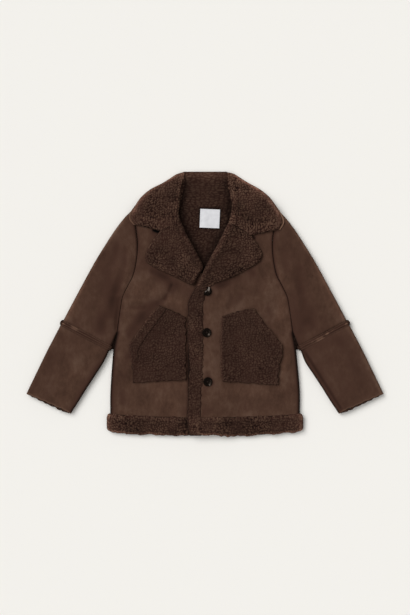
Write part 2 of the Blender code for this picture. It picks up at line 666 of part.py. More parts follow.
make_back(suede)
make_front(-1, right_under, suede)
make_front(1, left_under, suede)
make_hems(pile)
make_front_band(pile)
make_lapel("lapel_right", LAPEL_RIGHT, right_under, WRAPS_FROM, pile)
make_lapel("lapel_left", LAPEL_LEFT, left_clear, 0, pile)
make_collar(pile)
elbow = [past_elbow(SEAM + share * ELBOW_WIDTH, reach, height)
         for share, reach, height in ELBOW_OUT]
lower = [past_elbow(ELBOW_WIDTH + 2.0 * SEAM, 0.0, UPPER[-1].height), *LOWER]
for wearer_side, direction in (("right", -1), ("left", 1)):
    make_tube(f"sleeve_upper_{wearer_side}", UPPER, direction, suede, armhole_bow)
    make_tube(f"elbow_trim_{wearer_side}", elbow, direction, suede)
    make_tube(f"sleeve_lower_{wearer_side}", lower, direction, suede)
make_patch("pocket_right", POCKET_RIGHT, right_under, TRIM, (2.0, 2.0, 2.0, 2.0), pile)
make_patch("pocket_rim_right", RIM_RIGHT, right_under, RIM_THICK, (2.0, 1.0, 3.0, 2.0), pile)
make_patch("pocket_left", POCKET_LEFT, left_under, TRIM, (2.0, 2.0, 2.0, 2.0), pile,
           LAP_LINES[2:])
make_patch("pocket_rim_left", RIM_LEFT, left_under, RIM_THICK, (2.0, 1.0, 3.0, 2.0), pile)
for count, (place_x, place_y) in enumerate(BUTTONS, start=1):
    make_button(count, place_x, place_y, horn)
make_label(satin)
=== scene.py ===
# %% [markdown]
# # A child's shearling jacket, laid flat
# The jacket is sewn from bonded cloth: a napped suede face with a curly
# pile on its back.  The pile turns outward on the collar and the lapels,
# and strips and patches of it trim the front, the pockets and the hem.
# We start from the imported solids, which fix every size and place, and
# dress each of them with a finer surface.  Lengths below are in
# millimetres and become metres only when a mesh is written.

# %% Load the frame
import math
from collections import namedtuple
from functools import partial

import bpy
import numpy as np
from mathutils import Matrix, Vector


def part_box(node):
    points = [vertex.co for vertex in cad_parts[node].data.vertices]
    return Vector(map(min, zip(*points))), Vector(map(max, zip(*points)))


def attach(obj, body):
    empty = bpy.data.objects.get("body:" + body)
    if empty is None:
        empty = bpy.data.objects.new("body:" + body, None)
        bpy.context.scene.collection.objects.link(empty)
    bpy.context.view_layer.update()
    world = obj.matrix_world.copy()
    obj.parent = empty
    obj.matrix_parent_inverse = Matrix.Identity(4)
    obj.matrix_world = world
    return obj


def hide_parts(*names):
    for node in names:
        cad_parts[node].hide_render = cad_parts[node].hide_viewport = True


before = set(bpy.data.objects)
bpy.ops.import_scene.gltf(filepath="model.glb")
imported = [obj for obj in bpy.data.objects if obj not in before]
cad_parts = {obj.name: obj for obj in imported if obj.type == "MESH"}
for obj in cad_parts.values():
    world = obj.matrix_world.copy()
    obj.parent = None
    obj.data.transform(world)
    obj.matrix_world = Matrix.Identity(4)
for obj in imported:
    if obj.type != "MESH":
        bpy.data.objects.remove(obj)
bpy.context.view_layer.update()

MM = 0.001

# %% [markdown]
# ## Heights of the stack
# A jacket lying on a table is a stack of cloth: the back, the two fronts
# on it, the left front on the right one, and what is sewn on top.  The
# solids already hold these levels, so we read them instead of typing them.

# %% Read the levels
node_box = {name: np.array(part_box(name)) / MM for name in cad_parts}
WALL = node_box["back"][1, 2]
FRONT = node_box["front_right"][0, 2]
LAPPED = node_box["front_band"][0, 2]
PATCH = node_box["pocket_right"][0, 2]
TRIM = node_box["pocket_right"][1, 2] - PATCH
RIM = node_box["pocket_rim_right"][1, 2] - PATCH
TOP = node_box["front_left"][1, 2]
print(f"wall {WALL:.1f}, fronts from {FRONT:.1f}, lapped from {LAPPED:.1f}, top {TOP:.1f} mm")

# %% [markdown]
# ## Smooth curves and grids
# A tailor's outline is a smooth line through a few marks.  The Catmull-Rom
# curve goes through its marks, so a short table of them is enough.  Most
# pieces are then a *rail grid*: straight rows from a near rail to a far
# rail, with closer columns at the edges where the cloth turns over.

# %% Curves through marks
def through(table, at):
    """Blend rows of a table smoothly: a Catmull-Rom curve at row numbers `at`.

    Between marks 1 and 2 the point is the cubic that meets both marks and
    leaves each along the line joining its two neighbours.
    """
    marks = np.asarray(table, float)
    padded = np.vstack((2 * marks[0] - marks[1], marks, 2 * marks[-1] - marks[-2]))
    first = np.clip(np.floor(at).astype(int), 0, len(marks) - 2)
    share = (np.asarray(at) - first)[:, None]
    a, b, c, d = (padded[first + offset] for offset in range(4))
    return 0.5 * (2 * b + (c - a) * share + (2 * a - 5 * b + 4 * c - d) * share ** 2
                  + (3 * b - a - 3 * c + d) * share ** 3)


def path_length(points):
    """Return the distance walked along a row of points, from 0."""
    steps = np.linalg.norm(np.diff(points, axis=0), axis=1)
    return np.concatenate(((0.0,), np.cumsum(steps)))


def read_at(points, along, stops):
    """Read a row of points, with its distances along, at other distances."""
    return np.stack([np.interp(stops, along, column) for column in points.T], axis=1)


def straight(table, at):
    """Join the rows of a table with straight lines."""
    return read_at(np.asarray(table, float), np.arange(len(table)), at)


def unit(vector):
    """Bring a vector to length 1."""
    return vector / np.linalg.norm(vector)


print("a curve through 3 marks:", through([[0, 0], [1, 1], [2, 0]], np.array([0.5, 1.5])).round(2))

# %% Rail grids
Grid = namedtuple("Grid", "plan near far first last")


def edge_steps(width, edge, cell):
    """Return column distances for every width: close at both edges, even between.

    Near an edge they follow 1 - cos, so a quarter-round gets equal turns.
    """
    width = np.atleast_1d(width)[:, None]
    turn = edge * (1.0 - np.cos(np.linspace(0.0, math.pi / 2.0, 5)))[None, :]
    reach = np.minimum(1.0, width / (2.6 * edge))
    count = max(2, int(np.ceil((width.max() - 2.0 * edge) / cell)))
    inside = np.linspace(0.0, 1.0, count + 1)[None, 1:-1]
    core = edge * reach + (width - 2.0 * edge * reach) * inside
    return np.concatenate((turn * reach, core, width - (turn * reach)[:, ::-1]), axis=1)


def fill_rows(rails, edge, cell):
    """Fill straight rows between two rails; return plan, distance from near, and width."""
    near, far = rails[:, None, :2], rails[:, None, 2:]
    width = np.linalg.norm(far - near, axis=2)
    steps = edge_steps(width[:, 0], edge, cell)
    return near + (steps / width)[..., None] * (far - near), steps, width


def rail_grid(table, cell, edge=5.0, curve=through):
    """Span straight rows between two rails: near + share * (far - near).

    Each table row holds near x, near y, far x, far y.  The grid also keeps
    every point's distance from its four edges.
    """
    rails = curve(table, np.linspace(0.0, len(table) - 1.0, 50 * len(table)))
    along = path_length(0.5 * (rails[:, :2] + rails[:, 2:]))
    stops = edge_steps(along[-1], edge, 1.0001 * cell)[0]
    plan, steps, width = fill_rows(read_at(rails, along, stops), edge, cell)
    first = np.broadcast_to(stops[:, None], steps.shape)
    return Grid(plan, steps, width - steps, first, along[-1] - first)


def nearest_edge(grid):
    """Return every point's distance from the nearest of the four edges."""
    return np.min([*grid[1:]], axis=0)


def corner(distance, radius):
    """Return how far a quarter-round of this radius has dropped at a distance in."""
    inside = radius - np.clip(distance, 0.0, radius)
    return radius - np.sqrt(np.maximum(radius * radius - inside * inside, 0.0))


def rounding(grid, near, far, first, last):
    """Return the largest of the four edges' drops."""
    pairs = ((grid.near, near), (grid.far, far), (grid.first, first), (grid.last, last))
    return np.max([corner(distance, radius) for distance, radius in pairs], axis=0)


print("steps across 20 mm:", edge_steps(20.0, 5.0, 4.0)[0].round(1))

# %% [markdown]
# ## Noise for cloth
# Suede and pile are both uneven.  `cloud` is smooth value noise for slow
# changes.  `curls` stands for the pile: teased curls gather into tufts of
# about 5 mm, which is a cell pattern with its cells pushed about, and each
# tuft is split by finer strands.

# %% Noise on arrays
def scatter(column, row, seed):
    """Return one repeatable number from 0 to 1 for each whole cell."""
    value = np.sin(column * 127.1 + row * 311.7 + seed * 74.7) * 43758.5453
    return value - np.floor(value)


def cloud(x, y, size, seed):
    """Blend the numbers of the four nearest cells with an ease curve, 0 to 1."""
    column, row = np.floor(x / size), np.floor(y / size)
    across, up = x / size - column, y / size - row
    across, up = across ** 2 * (3 - 2 * across), up ** 2 * (3 - 2 * up)
    low = scatter(column, row, seed) * (1 - across) + scatter(column + 1, row, seed) * across
    high = (scatter(column, row + 1, seed) * (1 - across)
            + scatter(column + 1, row + 1, seed) * across)
    return low * (1 - up) + high * up


def tufts(x, y, size, seed):
    """Return the distances to the nearest and second nearest tuft, over size."""
    column, row = np.floor(x / size), np.floor(y / size)
    nearest, second = np.full(x.shape, 9.0), np.full(x.shape, 9.0)
    for right in (-1, 0, 1):
        for up in (-1, 0, 1):
            middle_x = column + right + 0.15 + 0.7 * scatter(column + right, row + up, seed)
            middle_y = row + up + 0.15 + 0.7 * scatter(column + right, row + up, seed + 5)
            away = np.hypot(x / size - middle_x, y / size - middle_y)
            second = np.minimum(second, np.maximum(away, nearest))
            nearest = np.minimum(nearest, away)
    return nearest, second


TUFT = 4.5


def curls(points):
    """Return the pile's height from 0 in a parting to 1 on a curl.

    A tuft is a dome, 1 - distance squared; it fades where two tufts meet.
    Strands are the folded middle of a finer cloud.  A slow cloud decides
    where the tufts stand apart and where they are felted together.
    """
    x = points[..., 0] + 0.8 * points[..., 2]
    y = points[..., 1] + 0.6 * points[..., 2]
    sway_x = x + 4.6 * (cloud(x, y, 6.1, 3) - 0.5) + 1.6 * (cloud(x, y, 2.3, 5) - 0.5)
    sway_y = y + 4.6 * (cloud(x, y, 6.1, 8) - 0.5) + 1.6 * (cloud(x, y, 2.3, 9) - 0.5)
    nearest, second = tufts(sway_x, sway_y, TUFT, 1)
    dome = np.clip(1.0 - (nearest / 0.9) ** 2, 0.0, 1.0)
    parting = np.clip((second - nearest) / 0.4, 0.0, 1.0) ** 0.8
    strands = 1.0 - np.abs(2.0 * cloud(sway_x, sway_y, 1.8, 12) - 1.0)
    height = 0.42 * dome * parting + 0.2 * parting + 0.38 * strands
    open_up = 0.4 + 0.8 * cloud(x, y, 24.0, 14)
    return np.clip(0.62 + (height - 0.62) * open_up, 0.0, 1.0)


sample = curls(np.random.default_rng(1).uniform(0.0, 60.0, (4000, 3)))
print(f"pile height from {sample.min():.2f} to {sample.max():.2f}, mean {sample.mean():.2f}")

# %% [markdown]
# ## From arrays to closed meshes
# A piece of cloth is a thin closed body: an upper surface, a lower surface
# and a wall round the rim.  Whole arrays of face numbers are built at once,
# and the sign of the enclosed volume tells whether the faces point outward.

# %% Mesh writers
def new_object(name, data):
    """Put an object with this data into the scene."""
    made = bpy.data.objects.new(name, data)
    bpy.context.scene.collection.objects.link(made)
    return made


def write_mesh(name, points, quads, values):
    """Write points in mm and quads as one smooth mesh, facing outward."""
    used, place = np.unique(quads, return_inverse=True)
    points = points[used] * MM
    quads = place.reshape(quads.shape)
    a, b, c, d = (points[quads[:, index]] for index in range(4))
    volume = np.einsum("ij,ij->", a, np.cross(b, c)) + np.einsum("ij,ij->", a, np.cross(c, d))
    if volume < 0.0:
        quads = quads[:, ::-1]
    mesh = bpy.data.meshes.new(name)
    mesh.vertices.add(len(points))
    mesh.vertices.foreach_set("co", points.ravel())
    mesh.loops.add(quads.size)
    mesh.loops.foreach_set("vertex_index", quads.ravel())
    mesh.polygons.add(len(quads))
    mesh.polygons.foreach_set("loop_start", np.arange(0, quads.size, 4))
    mesh.update(calc_edges=True)
    mesh.polygons.foreach_set("use_smooth", np.ones(len(quads), bool))
    for label, numbers in values.items():
        layer = mesh.attributes.new(label, "FLOAT", "POINT")
        layer.data.foreach_set("value", numbers.ravel()[used])
    return new_object(name, mesh)


def close_sheet(name, over, under, values=None, cells=None):
    """Join an upper and a lower grid with a wall round every open side."""
    rows, columns = over.shape[:2]
    number = np.arange(rows * columns).reshape(rows, columns)
    if cells is None:
        cells = np.ones((rows - 1, columns - 1), bool)
    loop = [number[:-1, :-1], number[:-1, 1:], number[1:, 1:], number[1:, :-1]]
    below = rows * columns
    top = np.stack([part[cells] for part in loop], axis=1)
    quads = [top, top[:, ::-1] + below]
    filled = np.pad(cells, 1)
    beside = (filled[:-2, 1:-1], filled[1:-1, 2:], filled[2:, 1:-1], filled[1:-1, :-2])
    for index, neighbour in enumerate(beside):
        open_side = cells & ~neighbour
        start, end = loop[index][open_side], loop[(index + 1) % 4][open_side]
        quads.append(np.stack((end, start, start + below, end + below), axis=1))
    points = np.concatenate((over.reshape(-1, 3), under.reshape(-1, 3)))
    values = {label: np.concatenate([part.ravel() for part in pair])
              for label, pair in (values or {}).items()}
    return write_mesh(name, points, np.concatenate(quads), values)


def close_ring(name, rings, values):
    """Close a grid whose rows and columns both run round, as on a hollow tube."""
    number = np.arange(rings.shape[0] * rings.shape[1]).reshape(rings.shape[:2])
    after = np.roll(number, -1, axis=1)
    quads = np.stack((number, after, np.roll(after, -1, axis=0),
                      np.roll(number, -1, axis=0)), axis=-1).reshape(-1, 4)
    return write_mesh(name, rings.reshape(-1, 3), quads, values)


def facing(surface):
    """Return unit normals of a grid: the cross product of its two slopes, made upward."""
    normal = np.cross(np.gradient(surface, axis=1), np.gradient(surface, axis=0))
    normal /= np.linalg.norm(normal, axis=2, keepdims=True) + 1e-9
    sign = np.sign(np.sum(normal[..., 2]))
    return normal * (sign if sign else 1.0)


def lift(plan, height):
    """Stand a plan grid on its heights."""
    return np.dstack((plan, np.broadcast_to(height, plan.shape[:2])))


print("mesh writers ready")

# %% [markdown]
# ## Colours and nodes
# Colours are noted as screen hex values and turned to linear light once.
# Small helpers add a node with its settings and links, and start a material.

# %% Colour and node helpers
def linear(hex_colour):
    """Turn an sRGB hex colour into linear RGBA."""
    parts = [int(hex_colour[index:index + 2], 16) / 255.0 for index in (1, 3, 5)]
    return (*(part / 12.92 if part <= 0.04045 else ((part + 0.055) / 1.055) ** 2.4
              for part in parts), 1.0)


def wire(made, **inputs):
    """Fill a node's inputs, each with a value or with a link from a socket."""
    for name, value in inputs.items():
        socket = made.inputs[int(name[1:]) if name[1:].isdigit() else name.replace("_", " ")]
        if isinstance(value, bpy.types.NodeSocket):
            made.id_data.links.new(value, socket)
        else:
            socket.default_value = value
    return made


def add(tree, kind, settings=None, **inputs):
    """Add a node with its settings, and fill its inputs."""
    made = tree.nodes.new("ShaderNode" + kind)
    for name, value in (settings or {}).items():
        setattr(made, name, value)
    return wire(made, **inputs)


def new_finish(name, **inputs):
    """Start a material; return it, its shader, its tree's `add` and its Object coordinates."""
    made = bpy.data.materials.new(name)
    made.use_nodes = True
    node = partial(add, made.node_tree)
    shader = wire(made.node_tree.nodes["Principled BSDF"], **inputs)
    return made, shader, node, node("TexCoord").outputs["Object"]


def ramp(node, factor, stops):
    """Add a colour ramp with (position, hex colour) stops, spread over the ramp's 0 to 1."""
    low, high = stops[0][0], stops[-1][0]
    spread = node("MapRange", Value=factor, i1=low, i2=high)
    made = node("ValToRGB", Fac=spread.outputs[0])
    while len(made.color_ramp.elements) < len(stops):
        made.color_ramp.elements.new(0.5)
    for element, (position, colour) in zip(made.color_ramp.elements, stops):
        element.position = (position - low) / (high - low)
        element.color = linear(colour)
    return made.outputs["Color"]


ADD_UP = {"operation": "MULTIPLY_ADD"}
print("suede brown in linear light:", [round(part, 4) for part in linear("#54392d")[:3]])

# %% [markdown]
# ## Finish: napped microfibre suede
# The face is a knitted polyester microfibre, sanded to a short nap.  It
# has no gloss, so roughness is near 1, and the standing fibres catch light
# at grazing angles, which is what sheen does.  A number on each point
# scales the colour: it holds painted shade in creases, seams, gaps and
# beside edges, painted light on rims and ridges, and some tone of the nap;
# painted shade is mixed redder.  A second number pales the raw edges, and
# paints a highlight along the elbow seams' crests.

# %% Suede material
def make_suede():
    """Mottle of 40 mm, brushed marks of 6 by 10 mm, fibres of 1 mm; painted shade is redder."""
    made, shader, node, place = new_finish(
        "napped_microfibre_suede", Roughness=0.92, IOR=1.5, Sheen_Weight=0.12,
        Sheen_Roughness=0.45, Sheen_Tint=linear("#a98873"), Specular_IOR_Level=0.08)
    mottle = node("TexNoise", Vector=place, Scale=26.0, Detail=2.0, Roughness=0.45)
    stretched = node("Mapping", Vector=place, Scale=(165.0, 95.0, 120.0))
    streaks = node("TexNoise", Vector=stretched.outputs[0], Scale=1.0, Detail=3.5,
                   Roughness=0.6)
    fibres = node("TexNoise", Vector=place, Scale=1000.0, Detail=2.0)
    mixed = node("Math", ADD_UP, i0=streaks.outputs["Fac"], i1=0.7, i2=mottle.outputs["Fac"])
    mixed = node("Math", ADD_UP, i0=fibres.outputs["Fac"], i1=0.3, i2=mixed.outputs[0])
    colour = ramp(node, mixed.outputs[0], ((0.65, "#3b281f"), (1.0, "#4b352a"),
                                           (1.35, "#5a4438")))
    # Painted shade and light: a number on each point scales the colour; low ones turn redder.
    nap = node("Attribute", {"attribute_name": "nap"})
    dark = node("MapRange", Value=nap.outputs["Fac"], i1=0.95, i2=0.65)
    reddish = node("Mix", {"data_type": "RGBA"}, i0=dark.outputs[0], i6=colour,
                   i7=linear("#4d342a"))
    shaded = node("VectorMath", {"operation": "SCALE"}, i0=reddish.outputs["Result"],
                  Scale=nap.outputs["Fac"])
    # A second number pales the colour: raw edges, and a painted highlight on elbow seam crests.
    worn = node("Attribute", {"attribute_name": "worn"})
    pale = node("Mix", {"data_type": "RGBA"}, i0=worn.outputs["Fac"], i6=shaded.outputs[0],
                i7=linear("#8a6a57"))
    relief = node("Math", ADD_UP, i0=streaks.outputs["Fac"], i1=0.5, i2=fibres.outputs["Fac"])
    bump = node("Bump", Strength=0.35, Distance=0.0004, Height=relief.outputs[0])
    wire(shader, Base_Color=pale.outputs["Result"], Normal=bump.outputs[0])
    return made


suede = make_suede()
print("made", suede.name)

# %% [markdown]
# ## Finish: curly polyester pile
# The pile is a sherpa knit whose yarn is teased into curls.  Light is lost
# between the curls, so the colour runs with the height that shaped them:
# the `pile` number is 0 in a parting and 1 on a curl.  Crimped strands
# below the mesh's step are left to bump.  A `shade` number holds painted
# shade where the pile is shut in, in gaps and along seams, and painted
# light on rolls, rims and free edges; it also varies at random.

# %% Pile material
def make_pile():
    """Colour follows the curls' height, varied by 30 mm clouds and 1 mm strands."""
    made, shader, node, place = new_finish(
        "curly_sherpa_pile", Roughness=0.95, IOR=1.5, Sheen_Weight=0.08, Sheen_Roughness=0.5,
        Sheen_Tint=linear("#8c6f5e"), Specular_IOR_Level=0.05)
    height = node("Attribute", {"attribute_name": "pile"})
    clouds = node("TexNoise", Vector=place, Scale=33.0, Detail=2.0)
    strands = node("TexNoise", Vector=place, Scale=900.0, Detail=3.0, Distortion=1.2)
    mixed = node("Math", ADD_UP, i0=clouds.outputs["Fac"], i1=0.25, i2=height.outputs["Fac"])
    mixed = node("Math", ADD_UP, i0=strands.outputs["Fac"], i1=0.35, i2=mixed.outputs[0])
    colour = ramp(node, mixed.outputs[0], ((0.25, "#100806"), (0.55, "#251611"),
                                           (0.85, "#311f19"), (1.0, "#3b2a22"),
                                           (1.25, "#49362b")))
    shade = node("Attribute", {"attribute_name": "shade"})
    shaded = node("VectorMath", {"operation": "SCALE"}, i0=colour, Scale=shade.outputs["Fac"])
    bump = node("Bump", Strength=0.6, Distance=0.0007, Height=strands.outputs["Fac"])
    wire(shader, Base_Color=shaded.outputs[0], Normal=bump.outputs[0])
    return made


pile = make_pile()
print("made", pile.name)

# %% [markdown]
# ## Finish: buttons, thread and label
# Imitation horn is cast polyester: dark, streaked and polished, IOR about
# 1.56.  Spun polyester thread is matt.  The label is a plain woven satin
# ribbon, left blank, whose warp floats show as fine ribs.

# %% Hard and small materials
def make_horn():
    """Dark streaks of 3 mm and a few painted glints under a polish with a warm tint."""
    made, shader, node, place = new_finish(
        "cast_horn_polyester", Roughness=0.16, IOR=1.56, Specular_IOR_Level=0.07,
        Specular_Tint=linear("#f0d4bc"))
    streaks = node("TexNoise", Vector=place, Scale=320.0, Detail=3.0, Distortion=2.0)
    colour = ramp(node, streaks.outputs["Fac"], ((0.35, "#030202"), (0.7, "#0d0807")))
    # Painted glints: a number on each point mixes in a pale grey.
    fleck = node("Attribute", {"attribute_name": "fleck"})
    mixed = node("Mix", {"data_type": "RGBA"}, i0=fleck.outputs["Fac"], i6=colour,
                 i7=linear("#7f776f"))
    wire(shader, Base_Color=mixed.outputs["Result"])
    return made


def make_thread():
    """Twisted plies of 0.5 mm on a dark brown yarn."""
    made, shader, node, place = new_finish("spun_polyester_thread", Roughness=0.8, IOR=1.55,
                                           Specular_IOR_Level=0.1)
    plies = node("TexNoise", Vector=place, Scale=2000.0)
    wire(shader, Base_Color=ramp(node, plies.outputs["Fac"],
                                 ((0.3, "#130c09"), (0.7, "#231711"))))
    return made


def make_satin():
    """Ribs of 1.1 mm, drawn coarser than the real 0.3 mm so that they show."""
    made, shader, node, place = new_finish("woven_satin_ribbon", Roughness=0.55, IOR=1.5,
                                           Sheen_Weight=0.1)
    ribs = node("TexWave", {"bands_direction": "Y"}, Vector=place, Scale=900.0 / math.pi,
                Distortion=0.6)
    soil = node("TexNoise", Vector=place, Scale=120.0, Detail=2.0)
    colour = ramp(node, soil.outputs["Fac"], ((0.3, "#d0d0d3"), (0.7, "#dcdcdf")))
    bump = node("Bump", Strength=0.25, Distance=0.0002, Height=ribs.outputs["Fac"])
    wire(shader, Base_Color=colour, Normal=bump.outputs[0])
    return made


horn, thread, satin = make_horn(), make_thread(), make_satin()
print("made", horn.name, thread.name, satin.name)

# %% [markdown]
# ## How the pieces are kept together
# Every piece rides on the one body, hides the plain solid that it stands
# for, and takes the material of its finish.  How far its box passes that
# solid's box is printed, so a wrong size shows at once.

# %% Fitting a piece to the frame
FINISHES = {"suede": (suede, "suede"), "pile": (pile, "curly_pile"),
            "horn": (horn, "button_horn"), "thread": (thread, "button_horn"),
            "satin": (satin, "label_satin")}
SIDES = (("right", -1), ("left", 1))


def fit(piece, finish, *nodes):
    """Give a piece its material, and let it stand for its solid."""
    material, slot = FINISHES[finish]
    piece.data.materials.append(material)
    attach(piece, "root")
    if nodes:
        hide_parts(*nodes)
        reach = np.array([point[:] for point in piece.bound_box]) / MM
        past = np.array((node_box[nodes[0]][0] - reach.min(axis=0),
                         reach.max(axis=0) - node_box[nodes[0]][1]))
        print(f"{piece.name}: {len(piece.data.polygons)} faces, past its solid by {past.round(1)}")
    return piece


# %% [markdown]
# ## Folds of the suede
# Bonded cloth is stiff, so it bends in few, broad, soft forms: a ridge
# with a trough beside it.  Each is a line with a half width, and its
# section is (1 - (d / half)^2)^2, which meets the flat without a step.
# The colour gets painted shade in a trough.  Strokes of painted shade and
# painted light, under the lapels and the collar, round the buttons, beside
# edges and in lighter patches, have the same form, with a share of tone
# for a height.

# %% Folds
def folded(plan, table):
    """Add up a table's folds: from x, y to x, y, then a half width and a rise."""
    total = np.zeros(plan.shape[:-1])
    for x1, y1, x2, y2, half, rise in table:
        start, line = np.array((x1, y1)), np.array((x2 - x1, y2 - y1))
        share = np.clip((plan - start) @ line / (line @ line), 0.0, 1.0)
        away = np.linalg.norm(plan - start - share[..., None] * line, axis=-1)
        total += rise * (1.0 - np.clip(away / half, 0.0, 1.0) ** 2) ** 2
    return total


def ease(value):
    """Run smoothly from 0 to 1 while value does."""
    value = np.clip(value, 0.0, 1.0)
    return value * value * (3.0 - 2.0 * value)


def bell(away, reach):
    """Return a bell curve: exp(-(away / reach)^2)."""
    return np.exp(-(away / reach) ** 2)


def waves(plan, size, height, seed):
    """Return broad shallow unevenness, from -height to 0."""
    return height * (cloud(plan[..., 0] + 900.0, plan[..., 1] + 900.0, size, seed) - 1.0)


FOLDS = ((-60, 34, -86, 20, 19, 2.4), (-148, 14, -112, 13, 17, 1.6), (54, 31, 48, 16, 19, 1.8),
         (134, 30, 108, 12, 18, 1.2), (-150, 76, -178, -14, 24, 2.6),
         (148, 78, 176, -18, 24, 2.4), (-196, 62, -226, -26, 26, 1.4),
         (200, 48, 214, -34, 26, 1.6), (-226, -88, -262, -150, 24, 1.2),
         (238, -84, 280, -138, 24, 1.4))
CREASES = ((-60, 22, -84, 2, 9, -1.3), (-150, -2, -112, -2, 9, -1.0),
           (-155, -18, -130, -24, 8, -0.9), (50, 12, 44, -6, 8, -1.1),
           (-120, 60, -104, 24, 14, -0.8), (112, 64, 100, 26, 14, -0.8),
           (-60, -160, -70, -196, 16, -0.7), (74, -162, 66, -196, 16, -0.7),
           (-152, -120, -148, -180, 13, -0.8), (154, -116, 148, -176, 13, -0.8),
           (-28, 20, -30, -40, 12, -0.6), (22, -10, 22, -120, 12, -0.5),
           (-62, 36, -75, 8, 7, -1.1), (-70, 20, -58, 0, 7, 0.8), (-150, 12, -108, 14, 6, -0.7),
           (-148, -8, -112, -5, 6, -0.7))
